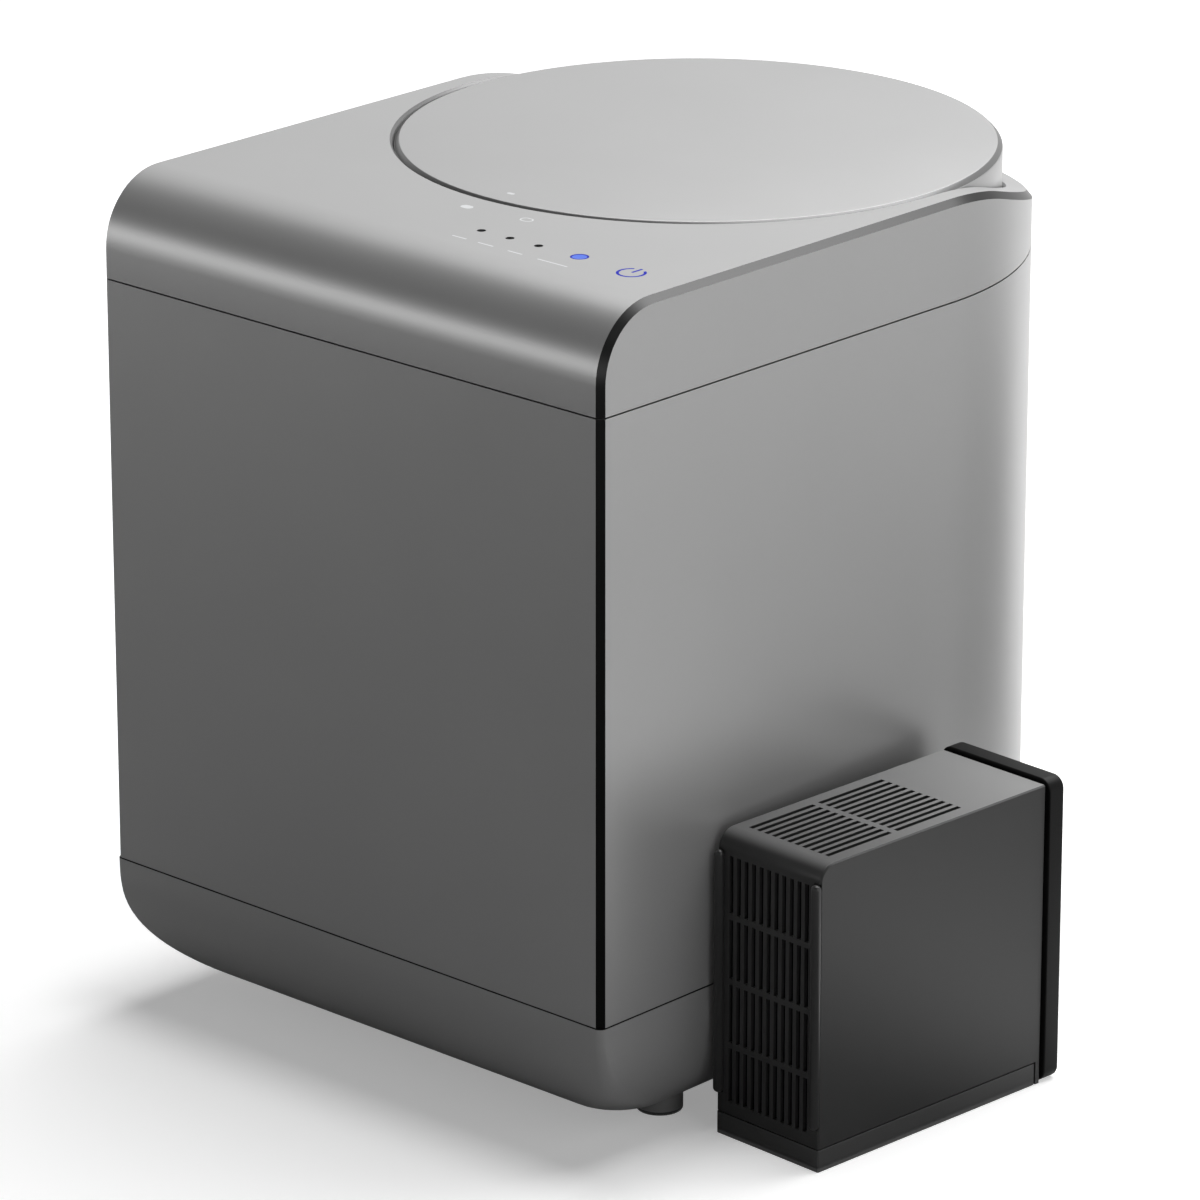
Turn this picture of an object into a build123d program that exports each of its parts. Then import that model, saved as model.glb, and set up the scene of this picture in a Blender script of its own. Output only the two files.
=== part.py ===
from build123d import *
from math import acos, atan2, copysign, cos, degrees, hypot, pi, radians, sin, sqrt, tan
import os

# Electric food waste composter with its deodorising filter cartridge standing beside it.
# The machine is drawn about its own centre line: X to the right seen from the front, Y from the
# front face to the back, Z up from the floor. The cartridge is drawn about its own centre line.
# Both are set into the shared frame, whose origin is the bottom centre of the box round the pair.

os.makedirs("parts", exist_ok=True)

# ---------------------------------------------------------------- body sizes, mm
body_w = 330.0  # across the flat sides
side_depth = 249.0  # front face to the axis of the half-round back, which the lid shares
foot_h = 6.0  # floor to underside
base_h = 70.0  # underside to lower seam
cart_h = 156.0  # filter cartridge, which sets how tall the sleeve is
sleeve_h = cart_h + 146.0  # lower seam to upper seam
cover_h = 51.0  # upper seam to the flat top
wall = 3.0  # moulded shells
seam_gap = 0.8  # open seam between two shells
edge_chamfer = 3.2  # facet between the front-and-top wrap and the side panels
cover_front_r = 36.0  # front edge of the top
base_front_r = 66.0  # front edge of the underside
base_side_r = 45.0  # side and back edges of the underside
base_corner_top = 3.8  # upright corners of the base at the seam, and what they gain below
base_corner_growth = 34.0
tongue_h = 6.0  # rim of the base that enters the sleeve
tongue_t = 2.0
fit_gap = 0.3  # loose fit between two pieces that don't move
overrun = 20.0  # how far a cutter runs past what it trims

back_r = body_w / 2
z_low = foot_h + base_h
z_high = z_low + sleeve_h
z_top = z_high + cover_h
body_depth = side_depth + back_r
floor_z = foot_h + wall
back_axis = Axis((0, side_depth, 0), (0, 0, 1))

# filter cartridge
cart_w = 68.0
cart_len = 155.0  # front face to flange
cart_wall = 2.0
flange_t = 12.0
flange_lip = 2.0
flange_corner_r = 6.5
tray_h = 11.4
collar_len = 2.6
cart_seam = 0.6
flange_gap = 1.6  # shadow gap between housing and flange
cart_front_r = 9.0
cart_edge = 0.8
slot_cols = 11
slot_pitch = 5.0
slot_w = 2.6
cart_x = back_r + 37.3  # where the cartridge stands, and its turn on the floor
cart_y = 76.5
cart_turn = -3.0

rod_r = 2.5
rod_low_z = 22.0
rod_high_z = cart_h - 9.0
rod_proud = 3.5
rod_inset = 2.0
flange_edge_r = 1.5
grip_w = 40.0
grip_h = 18.0
grip_z = cart_h - 28.0
grip_depth = 8.0
outlet_z = cart_h - 94.0
outlet_h = cart_h - 76.0
exhaust_w = 46.0
exhaust_pitch = 9.0
pleats = 14
pleat_depth = 20.0
pleat_t = 1.2
grille_low_z = tray_h + 7.1
grille_high_z = cart_h - 11.0
# the grille's four rows of slots, as shares of its height
grille_shares = ((0.0, 0.22), (0.244, 0.48), (0.504, 0.744), (0.768, 1.0))
grille_rows = [
    [grille_low_z + share * (grille_high_z - grille_low_z) for share in row]
    for row in grille_shares
]
top_slot_runs = ((13.0, 56.0), (60.0, 104.0))

# filter bay in the back
bay_gap = 0.75  # round the cartridge's body
bay_floor_z = 100.0
bay_wall = 2.0
mouth_wall = 2.5
mouth_gap = 1.0
mouth_corner_r = 5.0
flange_face_y = body_depth - 3.0
bay_front_y = flange_face_y - flange_t - cart_len - rod_proud - bay_gap

# fall of the top behind the lid's middle
crest_r = 150.0
rear_slope = 17.0
slope_run = 53.0
toe_r = 370.0
toe_turn = 11.0

# feet
foot_r = 11.5
foot_pad_h = 2.0
foot_front_x = back_r - 37.0
foot_front_y = 82.0
foot_rear_reach = back_r - 38.0  # from the back's axis
foot_rear_angle = 45.0

# lid, well and feed opening
lid_r = back_r - 15.0
lid_bevel = 2.4
lid_wall = 2.6
lid_gap = 0.7  # open ring between lid and well
well_bevel = 1.3
well_wall = 2.5
ledge_z = z_high + 6.0
ledge_t = 3.0
skirt_lift = 4.5  # skirt's lower edge above the ledge
feed_r = lid_r - 34.0
chute_r = feed_r - 4.0
chute_wall = 2.5
chute_drop = 32.0
chute_lip_w = 9.0
chute_lip_t = 2.0
seal_r = feed_r + 15.0
seal_w = 6.0
liner_lift = 6.0  # liner's underside above the ledge
liner_t = 2.0
liner_rib_r = lid_r - 80.0
liner_ribs = 8

# lid hinge
hinge_y = side_depth + lid_r + 3.5
hinge_z = z_top - 28.0
barrel_r = 5.5
hinge_pin_r = 2.0
lid_barrel_half = 29.0
hinge_side_gap = 0.6
lug_w = 10.0
pin_end = 2.0
running_gap = 0.05

# controls on the flat top
control_y = 59.0
window_r = 2.15
window_first_x = back_r - 131.2
window_pitch = 18.5
window_count = 3
light_x = back_r - 68.0
light_r = 4.5
power_x = back_r - 33.0
power_y = 56.5
power_ring_r = 7.2
power_line = 1.4
power_inlay = 0.6
power_opening = 60.0  # open part of the ring, degrees
board_drop = 9.0  # top skin to control board
board_t = 1.6
control_board_w = 40.0
post_step = 12.0  # posts in front of the row of lights
cover_posts = [(back_r - 137.0, control_y - post_step), (back_r - 19.0, control_y - post_step)]
post_r = 3.0
controller_side = 14.0
connector_d = 6.0
connector_h = 3.0

# tank
tank_half_w = back_r - 39.0
tank_front_y = 36.0
tank_wall = 2.5
trough_bay_gap = 3.25  # between the trough and the filter bay
trough_r = (bay_front_y - bay_wall - trough_bay_gap - tank_wall - tank_front_y) / 2
shaft_y = tank_front_y + trough_r
shaft_z = 192.0
ramp_low_z = bay_floor_z + cart_h + 14.0
ramp_high_z = z_high - 28.0
tank_top_z = z_high
tank_back_y = body_depth - 42.0
tank_plan_r = lid_r - 0.5  # half-round back of the tank's upper part
tank_flange_w = 6.0
tank_flange_t = 2.5
ear_r = 6.5
deck_t = 2.6
vent_w = 40.0
vent_h = 14.0
vent_z = z_high - 16.0
vent_count = 5
vent_slit = 5.0
heater_t = 1.5
heater_w = 2 * tank_half_w - 62.0
heater_half_angle = 62.0

# mixing shaft and its gear train
shaft_r = 8.0
shaft_end = 4.0
shaft_bevel = 1.0
arm_count = 6
arm_pitch = (2 * tank_half_w - 12.0) / arm_count
arm_reach = trough_r - 8.0
arm_t = 6.0
arm_w = 12.0
arm_hub_r = 13.0
arm_hub_w = 16.0
blade_w = arm_pitch - 3.0
blade_h = 18.0
blade_t = 4.0
blade_cant = 25.0
bush_r = 14.0
bush_flange_r = 18.0
bush_flange_t = 2.0
module = 2.5
driven_teeth = 48
idler_teeth = 24
pinion_teeth = 18
pressure_angle = 20.0
gear_w = 10.0
backlash = 0.12
web_cut = 3.0
web_hole_r = 9.0
plate_x = tank_half_w + 5.0
plate_t = 3.0
gear_x = plate_x + plate_t + 4.0  # inner face of all three gears
plate_front_y = shaft_y - 72.0
plate_back_y = shaft_y + 72.0
plate_foot_w = 20.0
plate_tab_w = 12.0
plate_pad_h = 4.0
plate_window_w = 36.0
plate_window_h = 70.0
plate_window_step = 34.0
motor_r = 24.0
motor_len = 62.0
gearbox_w = 56.0
gearbox_len = 38.0
gearbox_corner_r = 5.0
motor_edge_r = 3.0
motor_boss = 4.0
pinion_shaft_r = 5.0
pinion_shaft_depth = 9.0
idler_axle_r = 4.0
axle_collar_r = 7.0
axle_head = 2.0
gear_hub_r = 14.0
screw_r = 2.0
screw_head_r = 3.6
screw_head_h = 2.4
screw_depth = 10.0
motor_screw_offset = 22.0

# power inlet and vent slots in the back
inlet_x = -72.0
inlet_z = 112.0
inlet_w = 33.0
inlet_h = 26.0
inlet_sink = 6.0
inlet_block = 22.0
inlet_rim = 1.6
socket_w = 25.0
socket_h = 17.5
socket_depth = 16.0
pin_pitch = 7.0
pin_w = 2.0
pin_h = 4.0
vent_slots = 8
vent_slot_h = 36.0
vent_slot_w = 3.0
vent_step = 2.6  # degrees round the back
vent_first = 22.0

# power board in the base
power_board_y = 132.0
power_board_w = 100.0
power_board_d = 110.0
power_board_gap = 2.0  # to the foot of the cradle
power_board_x = power_board_w / 2 + power_board_gap + plate_foot_w - plate_x - plate_t
board_z = 16.0
board_margin = 7.0
# transformer, relay and choke on the power board: place from its middle, size and height
power_board_blocks = (
    (-24.0, -22.0, 38.0, 34.0, 30.0),
    (-28.0, 20.0, 20.0, 28.0, 16.0),
    (0.0, 24.0, 18.0, 18.0, 20.0),
)
capacitor_x = 22.0
capacitor_y = -11.0
capacitor_pitch = 19.0
capacitor_r = 8.0
capacitor_h = 24.0
capacitors = 3

# fan and duct above the bay
fan_y = body_depth - 96.0
fan_w = 60.0
fan_h = 18.0
fan_r = 27.0
fan_hub_r = 11.0
fan_blades = 7
fan_blade_chord = 10.0
fan_blade_t = 1.2
fan_blade_pitch = 48.0
spider_w = 3.0
spindle_r = 2.0
duct_half_w = 28.0
duct_wall = 2.0
duct_back_y = body_depth - 16.0
duct_rise = 14.0  # front of the duct above the fan
duct_side_rise = 1.1
duct_inset = 1.0
duct_cap = 4.0

driven_pr = module * driven_teeth / 2
idler_pr = module * idler_teeth / 2
pinion_pr = module * pinion_teeth / 2
idler_z = shaft_z - driven_pr - idler_pr
motor_z = idler_z - idler_pr - pinion_pr
window_z = (shaft_z + driven_pr + tank_top_z) / 2
well_r = lid_r + lid_gap

machine_parts = []
cartridge_parts = []


# ---------------------------------------------------------------- outlines shared by the shells
def body_plan(inset, height, corner=0.0):
    """D-shaped outline of the body at a height: flat front, straight sides, half-round back."""
    half = back_r - inset
    with BuildSketch(Plane.XY.offset(height)) as plan:
        with BuildLine():
            Polyline((-half, side_depth), (-half, inset), (half, inset), (half, side_depth))
            ThreePointArc((half, side_depth), (0, side_depth + half), (-half, side_depth))
        make_face()
        if corner > 0:
            fillet(plan.vertices().group_by(Axis.Y)[0], corner)
    return plan.sketch


def tongue(seam_z, rise):
    """Rim that bridges a seam from inside: rooted in one shell, entering the other by its rise."""
    inner = wall + fit_gap + tongue_t
    with BuildPart() as rim:
        add(body_plan(wall - fit_gap, seam_z - rise))
        extrude(amount=rise - copysign(seam_gap / 2, rise))
        add(body_plan(wall + fit_gap, seam_z - rise))
        extrude(amount=2 * rise)
        add(body_plan(inner, seam_z - rise))
        extrude(amount=2 * rise, mode=Mode.SUBTRACT)
    return rim.part


def cover_profile(inset):
    """Side view of the top cover: rounded front edge, flat top, fall behind the lid's middle."""
    with BuildSketch(Plane.YZ.offset(-body_w)) as profile:
        with BuildLine():
            front = Line((inset, z_high - 1), (inset, z_top - cover_front_r))
            bend = JernArc(front @ 1, front % 1, cover_front_r - inset, -90)
            flat = Line(bend @ 1, (side_depth, z_top - inset))
            crest = JernArc(flat @ 1, flat % 1, crest_r - inset, -rear_slope)
            run = Line(crest @ 1, crest @ 1 + (crest % 1) * slope_run)
            toe = JernArc(run @ 1, run % 1, toe_r + inset, toe_turn)
            tail = Line(toe @ 1, toe @ 1 + (toe % 1) * overrun)
            Polyline(tail @ 1, ((tail @ 1).X, z_high - 1), front @ 0)
        make_face()
    return profile.sketch


def axle_plane(height, x=gear_x):
    """Plane across the shaft's line at x, centred on the axle at a height."""
    return Plane(origin=(x, shaft_y, height), x_dir=(0, 1, 0), z_dir=(1, 0, 0))


def on_rim(edge):
    """True for the cover's upper outer edges beside the side panels and round the back."""
    middle = edge @ 0.5
    out = max(abs(middle.X), hypot(middle.X, max(0.0, middle.Y - side_depth)))
    seam_line = abs(middle.Z - z_high - seam_gap / 2) < 0.01
    tangent_line = min(abs((edge @ 0).Y - side_depth), abs((edge @ 1).Y - side_depth)) < 0.01
    step = (edge @ 1) - (edge @ 0)
    upright = hypot(step.X, step.Y) < 0.01
    return out > back_r - 0.01 and not seam_line and not (upright and tangent_line)


def on_well(edge):
    """True for the rim of the lid's well where it meets the top and its fall."""
    points = [edge @ share for share in (0.0, 0.5, 1.0)]
    on_circle = [abs(hypot(point.X, point.Y - side_depth) - well_r) < 0.01 for point in points]
    above = [point.Z > ledge_z + overrun / 2 for point in points]
    step = points[2] - points[0]
    return all(on_circle) and all(above) and hypot(step.X, step.Y) > 0.01


def power_mark(height):
    """Power mark: a ring open at the back, with a short bar in the opening."""
    with BuildSketch(Plane.XY.offset(height)) as mark:
        with Locations((power_x, power_y)):
            Circle(power_ring_r)
            Circle(power_ring_r - power_line, mode=Mode.SUBTRACT)
        with BuildLine():
            half = power_opening / 2
            reach = 2 * power_ring_r
            Polyline(
                (power_x, power_y),
                (power_x - reach * sin(radians(half)), power_y + reach * cos(radians(half))),
                (power_x + reach * sin(radians(half)), power_y + reach * cos(radians(half))),
                close=True,
            )
        make_face(mode=Mode.SUBTRACT)
        with Locations((power_x, power_y + power_ring_r * 0.55)):
            Rectangle(power_line, power_ring_r)
    return mark.sketch


# ---------------------------------------------------------------- base shell
# A tub lofted through D-shaped outlines that draw in towards the underside; the front corners
# grow rounder as they go down. Four short bosses carry the feet.
def base_outline(height, inset):
    """Outline of the base at a height; inset is 0 outside and the wall's thickness inside."""
    front_c = foot_h + base_front_r
    side_c = foot_h + base_side_r
    front_in, side_in = inset, inset
    if height < front_c:
        r = base_front_r - inset
        front_in = base_front_r - sqrt(max(0.0, r * r - (front_c - height) ** 2))
    if height < side_c:
        r = base_side_r - inset
        side_in = base_side_r - sqrt(max(0.0, r * r - (side_c - height) ** 2))
    depth_share = (z_low - height) / base_h
    corner = base_corner_top + base_corner_growth * depth_share**3
    half = back_r - side_in
    with BuildSketch(Plane.XY.offset(height)) as outline:
        with BuildLine():
            Polyline(
                (-half, side_depth), (-half, front_in), (half, front_in), (half, side_depth)
            )
            ThreePointArc((half, side_depth), (0, side_depth + half), (-half, side_depth))
        make_face()
        fillet(outline.vertices().group_by(Axis.Y)[0], corner)
    return outline.sketch


def base_heights(inset):
    """Heights of the lofted outlines, closest where the underside turns level."""
    r = base_side_r - inset
    angles = (0, 22, 42, 58, 72, 83, 90)
    curve = [foot_h + base_side_r - r * sin(radians(a)) for a in angles]
    return [z_low, (z_low + curve[0]) / 2] + curve


rear_foot_x = foot_rear_reach * sin(radians(foot_rear_angle))
rear_foot_y = side_depth + foot_rear_reach * cos(radians(foot_rear_angle))
foot_spots = [
    (-foot_front_x, foot_front_y),
    (foot_front_x, foot_front_y),
    (-rear_foot_x, rear_foot_y),
    (rear_foot_x, rear_foot_y),
]
plate_foot_z = floor_z + plate_pad_h
board_posts = [
    (power_board_x + sx * (power_board_w / 2 - board_margin),
     power_board_y + sy * (power_board_d / 2 - board_margin))
    for sx in (-1, 1)
    for sy in (-1, 1)
]
pad_mid_x = plate_x + plate_t - plate_foot_w / 2
pad_ys = (plate_front_y + plate_foot_w, plate_back_y - plate_foot_w)

with BuildPart() as base_core:
    for level in base_heights(wall):
        add(base_outline(level, wall))
    loft()

with BuildPart() as base_shell:
    for level in base_heights(0):
        add(base_outline(level, 0))
    loft()
    with BuildSketch(Plane.XY.offset(foot_pad_h)):
        with Locations(*foot_spots):
            Circle(foot_r)
    extrude(amount=floor_z - foot_pad_h + wall)
    add(base_core.part, mode=Mode.SUBTRACT)
    # pads that carry the drive plate and the cradle, and posts under the power board
    with BuildSketch(Plane.XY.offset(floor_z - 1)):
        for pad_x in (-1, 1):
            with Locations(*[(pad_x * pad_mid_x, y) for y in pad_ys]):
                Rectangle(plate_foot_w - 4, plate_foot_w)
    extrude(amount=plate_pad_h + 1)
    with BuildSketch(Plane.XY.offset(floor_z - 1)):
        with Locations(*board_posts):
            Circle(post_r)
    extrude(amount=board_z - floor_z + 1)
    # the open top stops half a seam short, and a tongue inside it lines up the sleeve
    with BuildSketch(Plane.XY.offset(z_low - seam_gap / 2)):
        Rectangle(3 * body_w, 3 * body_w)
    extrude(amount=seam_gap, mode=Mode.SUBTRACT)
    add(tongue(z_low, tongue_h))
base_shell.part.label = "base_shell"
machine_parts.append(base_shell.part)

# ---------------------------------------------------------------- feet
# Moulded rubber pads stuck under the base's bosses.
for label, spot in zip(
    ("foot_front_left", "foot_front_right", "foot_rear_left", "foot_rear_right"), foot_spots
):
    with BuildPart() as foot:
        with BuildSketch():
            with Locations(spot):
                Circle(foot_r)
        extrude(amount=foot_pad_h)
        fillet(foot.edges().group_by(Axis.Z)[0], foot_pad_h / 2)
    foot.part.label = label
    machine_parts.append(foot.part)

# ---------------------------------------------------------------- body sleeve
# One tube of bent sheet from the lower to the upper seam, with cut-outs in its back.
cart_flange_w = cart_w + 2 * flange_lip
cart_flange_h = cart_h + flange_lip
mouth_w = cart_flange_w + 2 * mouth_gap
mouth_h = cart_flange_h + 2 * mouth_gap
mouth_z = bay_floor_z - mouth_gap / 2 + mouth_h / 2

with BuildPart() as body_sleeve:
    sleeve_z = z_low + seam_gap / 2
    add(body_plan(0, sleeve_z))
    extrude(amount=sleeve_h - seam_gap)
    chamfer(
        body_sleeve.edges().filter_by(Axis.Z).group_by(Axis.Y)[0], edge_chamfer
    )
    add(body_plan(wall, sleeve_z))
    extrude(amount=sleeve_h - seam_gap, mode=Mode.SUBTRACT)
    with BuildSketch(Plane.XZ.offset(-body_depth)):
        with Locations((0, mouth_z)):
            Rectangle(
                mouth_w + 2 * (mouth_wall + fit_gap), mouth_h + 2 * (mouth_wall + fit_gap)
            )
        with Locations((inlet_x, inlet_z)):
            Rectangle(inlet_w + 2 * fit_gap, inlet_h + 2 * fit_gap)
    extrude(amount=back_r / 2, mode=Mode.SUBTRACT)
    for slot in range(vent_slots):
        turn = vent_first + slot * vent_step
        out = Vector(sin(radians(turn)), cos(radians(turn)), 0)
        face = Plane(
            origin=Vector(0, side_depth, inlet_z) + out * (back_r + 1),
            x_dir=(out.Y, -out.X, 0),
            z_dir=-out,
        )
        with BuildSketch(face):
            SlotOverall(vent_slot_h, vent_slot_w, rotation=90)
        extrude(amount=2 * wall, mode=Mode.SUBTRACT)
body_sleeve.part.label = "body_sleeve"
machine_parts.append(body_sleeve.part)

# ---------------------------------------------------------------- top cover
# A moulded cap: front edge rounded over, flat top, and a fall to the back that bares the lid's
# side. Inside it a round well takes the lid, and the well's ledge frames the feed opening.
with BuildPart() as cover_core:
    add(body_plan(wall, z_high - 1))
    extrude(amount=cover_h + 1)
    add(cover_profile(wall))
    extrude(amount=2 * body_w, dir=(1, 0, 0), mode=Mode.INTERSECT)
    with BuildSketch(Plane.XY.offset(ledge_z - ledge_t)):
        with Locations((0, side_depth)):
            Circle(well_r + well_wall)
    extrude(amount=cover_h, mode=Mode.SUBTRACT)

with BuildPart() as top_cover:
    add(body_plan(0, z_high + seam_gap / 2))
    extrude(amount=cover_h)
    add(cover_profile(0))
    extrude(amount=2 * body_w, dir=(1, 0, 0), mode=Mode.INTERSECT)
    rim = [edge for edge in top_cover.edges() if on_rim(edge)]
    chamfer(rim, edge_chamfer)
    add(cover_core.part, mode=Mode.SUBTRACT)
    with BuildSketch(Plane.XY.offset(ledge_z)):
        with Locations((0, side_depth)):
            Circle(well_r)
    extrude(amount=cover_h, mode=Mode.SUBTRACT)
    chamfer([edge for edge in top_cover.edges() if on_well(edge)], well_bevel)
    with BuildSketch(Plane.XY.offset(z_high)):
        with Locations((0, side_depth)):
            Circle(feed_r)
    extrude(amount=cover_h, mode=Mode.SUBTRACT)
    # tongue inside the sleeve's upper edge
    add(tongue(z_high, -tongue_h))
    # two lugs for the lid's hinge pin
    for side in (-1, 1):
        lug_x = side * (lid_barrel_half + hinge_side_gap + lug_w / 2)
        with BuildSketch(Plane.YZ.offset(lug_x - lug_w / 2)):
            with Locations((hinge_y, hinge_z)):
                Circle(barrel_r)
            with Locations((hinge_y, hinge_z - barrel_r)):
                Rectangle(2 * barrel_r, 2 * barrel_r)
        extrude(amount=lug_w)
    with BuildSketch(Plane.YZ.offset(-back_r / 3)):
        with Locations((hinge_y, hinge_z)):
            Circle(hinge_pin_r + running_gap)
    extrude(amount=2 * back_r / 3, mode=Mode.SUBTRACT)
    # bores for the light guides and a shallow recess for the power mark's inlay
    with BuildSketch(Plane.XY.offset(z_top - 2 * wall)):
        for index in range(window_count):
            with Locations((window_first_x + index * window_pitch, control_y)):
                Circle(window_r + running_gap)
        with Locations((light_x, control_y)):
            Circle(light_r + running_gap)
    extrude(amount=3 * wall, mode=Mode.SUBTRACT)
    add(power_mark(z_top - power_inlay))
    extrude(amount=2 * power_inlay, mode=Mode.SUBTRACT)
    # posts that hold the control board under the top
    with BuildSketch(Plane.XY.offset(z_top - wall - board_drop)):
        with Locations(*cover_posts):
            Circle(post_r)
    extrude(amount=board_drop + wall / 2)
top_cover.part.label = "top_cover"
machine_parts.append(top_cover.part)

# ---------------------------------------------------------------- lights and power mark
# Light guides stand on the control board and end flush with the top.
board_top_z = z_top - wall - board_drop

for index in range(window_count):
    with BuildPart() as window:
        with BuildSketch(Plane.XY.offset(board_top_z)):
            with Locations((window_first_x + index * window_pitch, control_y)):
                Circle(window_r)
        extrude(amount=z_top - board_top_z)
    window.part.label = f"status_window_{index + 1}"
    machine_parts.append(window.part)

with BuildPart() as status_light:
    with BuildSketch(Plane.XY.offset(board_top_z)):
        with Locations((light_x, control_y)):
            Circle(light_r)
    extrude(amount=z_top - board_top_z)
status_light.part.label = "status_light"
machine_parts.append(status_light.part)

with BuildPart() as power_icon:
    add(power_mark(z_top - power_inlay))
    extrude(amount=power_inlay)
power_icon.part.label = "power_icon"
machine_parts.append(power_icon.part)

# ---------------------------------------------------------------- control board
# Board under the top, with its processor, touch spring pad and two connectors.
with BuildPart() as control_board:
    board_mid_x = (cover_posts[0][0] + cover_posts[1][0]) / 2
    board_len = cover_posts[1][0] - cover_posts[0][0] + 2 * board_margin
    with BuildSketch(Plane.XY.offset(board_top_z - board_t)):
        with Locations((board_mid_x, control_y)):
            RectangleRounded(board_len, control_board_w, 2)
    extrude(amount=board_t)
    with BuildSketch(Plane.XY.offset(board_top_z - board_t - connector_h)):
        with Locations((board_mid_x - 1.5 * controller_side, control_y)):
            Rectangle(controller_side, controller_side)
        with Locations((board_mid_x + controller_side, control_y)):
            with GridLocations(4 * connector_d, 3 * connector_d, 2, 2):
                Rectangle(3 * connector_d, connector_d)
    extrude(amount=connector_h)
control_board.part.label = "control_board"
machine_parts.append(control_board.part)

# ---------------------------------------------------------------- feed chute
# A ring dropped into the feed opening: its lip lies on the ledge, its skirt keeps scraps off
# the tank's edge.
with BuildPart() as feed_chute:
    with BuildSketch(Plane.XZ.offset(-side_depth)):
        with BuildLine():
            lip_top = ledge_z + chute_lip_t
            Polyline(
                (chute_r, lip_top),
                (chute_r + chute_wall + chute_lip_w, lip_top),
                (chute_r + chute_wall + chute_lip_w, ledge_z),
                (chute_r + chute_wall, ledge_z),
                (chute_r + chute_wall, ledge_z - chute_drop),
                (chute_r, ledge_z - chute_drop),
                close=True,
            )
        make_face()
    revolve(axis=back_axis)
feed_chute.part.label = "feed_chute"
machine_parts.append(feed_chute.part)

# ---------------------------------------------------------------- lid
# A flush round lid: a shell whose side is bared by the cover's fall, stiffened by an inner
# pan, and hung on a barrel at its back.
skirt_z = ledge_z + skirt_lift
lid_inner_r = lid_r - lid_wall

with BuildPart() as lid_shell:
    with BuildSketch(Plane.XY.offset(skirt_z)):
        with Locations((0, side_depth)):
            Circle(lid_r)
    extrude(amount=z_top - skirt_z)
    chamfer(lid_shell.edges().group_by(Axis.Z)[-1], lid_bevel)
    with BuildSketch(Plane.YZ.offset(-lid_barrel_half)):
        with Locations((hinge_y, hinge_z)):
            Circle(barrel_r)
        with Locations((hinge_y - barrel_r, hinge_z)):
            Rectangle(2 * barrel_r, 2 * barrel_r)
    extrude(amount=2 * lid_barrel_half)
    with BuildSketch(Plane.XY.offset(skirt_z)):
        with Locations((0, side_depth)):
            Circle(lid_inner_r)
    extrude(amount=z_top - lid_wall - skirt_z, mode=Mode.SUBTRACT)
    with BuildSketch(Plane.YZ.offset(-lid_barrel_half)):
        with Locations((hinge_y, hinge_z)):
            Circle(hinge_pin_r + running_gap)
    extrude(amount=2 * lid_barrel_half, mode=Mode.SUBTRACT)
lid_shell.part.label = "lid_shell"
machine_parts.append(lid_shell.part)

with BuildPart() as hinge_pin:
    pin_half = lid_barrel_half + hinge_side_gap + lug_w + pin_end
    with BuildSketch(Plane.YZ.offset(-pin_half)):
        with Locations((hinge_y, hinge_z)):
            Circle(hinge_pin_r)
    extrude(amount=2 * pin_half)
    chamfer(hinge_pin.edges().filter_by(GeomType.CIRCLE), hinge_pin_r / 4)
hinge_pin.part.label = "hinge_pin"
machine_parts.append(hinge_pin.part)

with BuildPart() as lid_liner:
    liner_z = ledge_z + liner_lift
    with BuildSketch(Plane.XY.offset(liner_z)):
        with Locations((0, side_depth)):
            Circle(lid_inner_r - fit_gap)
    extrude(amount=z_top - lid_wall - fit_gap - liner_z)
    with BuildSketch(Plane.XY.offset(liner_z + liner_t)):
        with Locations((0, side_depth)):
            Circle(lid_inner_r - fit_gap - liner_t)
    extrude(amount=cover_h, mode=Mode.SUBTRACT)
    # ribs that stiffen the pan and meet the lid's skin
    rib_end_r = lid_inner_r - fit_gap - liner_t / 2
    with BuildSketch(Plane.XY.offset(liner_z + liner_t / 2)):
        with Locations((0, side_depth)):
            Circle(liner_rib_r + liner_t / 2)
            Circle(liner_rib_r - liner_t / 2, mode=Mode.SUBTRACT)
        with Locations((0, side_depth)):
            with PolarLocations((liner_rib_r + rib_end_r) / 2, liner_ribs):
                Rectangle(rib_end_r - liner_rib_r, liner_t)
    extrude(amount=z_top - lid_wall - fit_gap - liner_z - liner_t / 2)
lid_liner.part.label = "lid_liner"
machine_parts.append(lid_liner.part)

# Soft ring under the pan, with a lip that closes on the ledge round the feed opening.
with BuildPart() as lid_seal:
    with BuildSketch(Plane.XZ.offset(-side_depth)):
        with BuildLine():
            Polyline(
                (seal_r - seal_w / 2, liner_z),
                (seal_r + seal_w / 2, liner_z),
                (seal_r + seal_w / 2, liner_z - seal_w / 3),
                (seal_r + seal_w / 6, ledge_z + fit_gap),
                (seal_r - seal_w / 6, ledge_z + fit_gap),
                (seal_r - seal_w / 2, liner_z - seal_w / 3),
                close=True,
            )
        make_face()
    revolve(axis=back_axis)
lid_seal.part.label = "lid_seal"
machine_parts.append(lid_seal.part)

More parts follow.
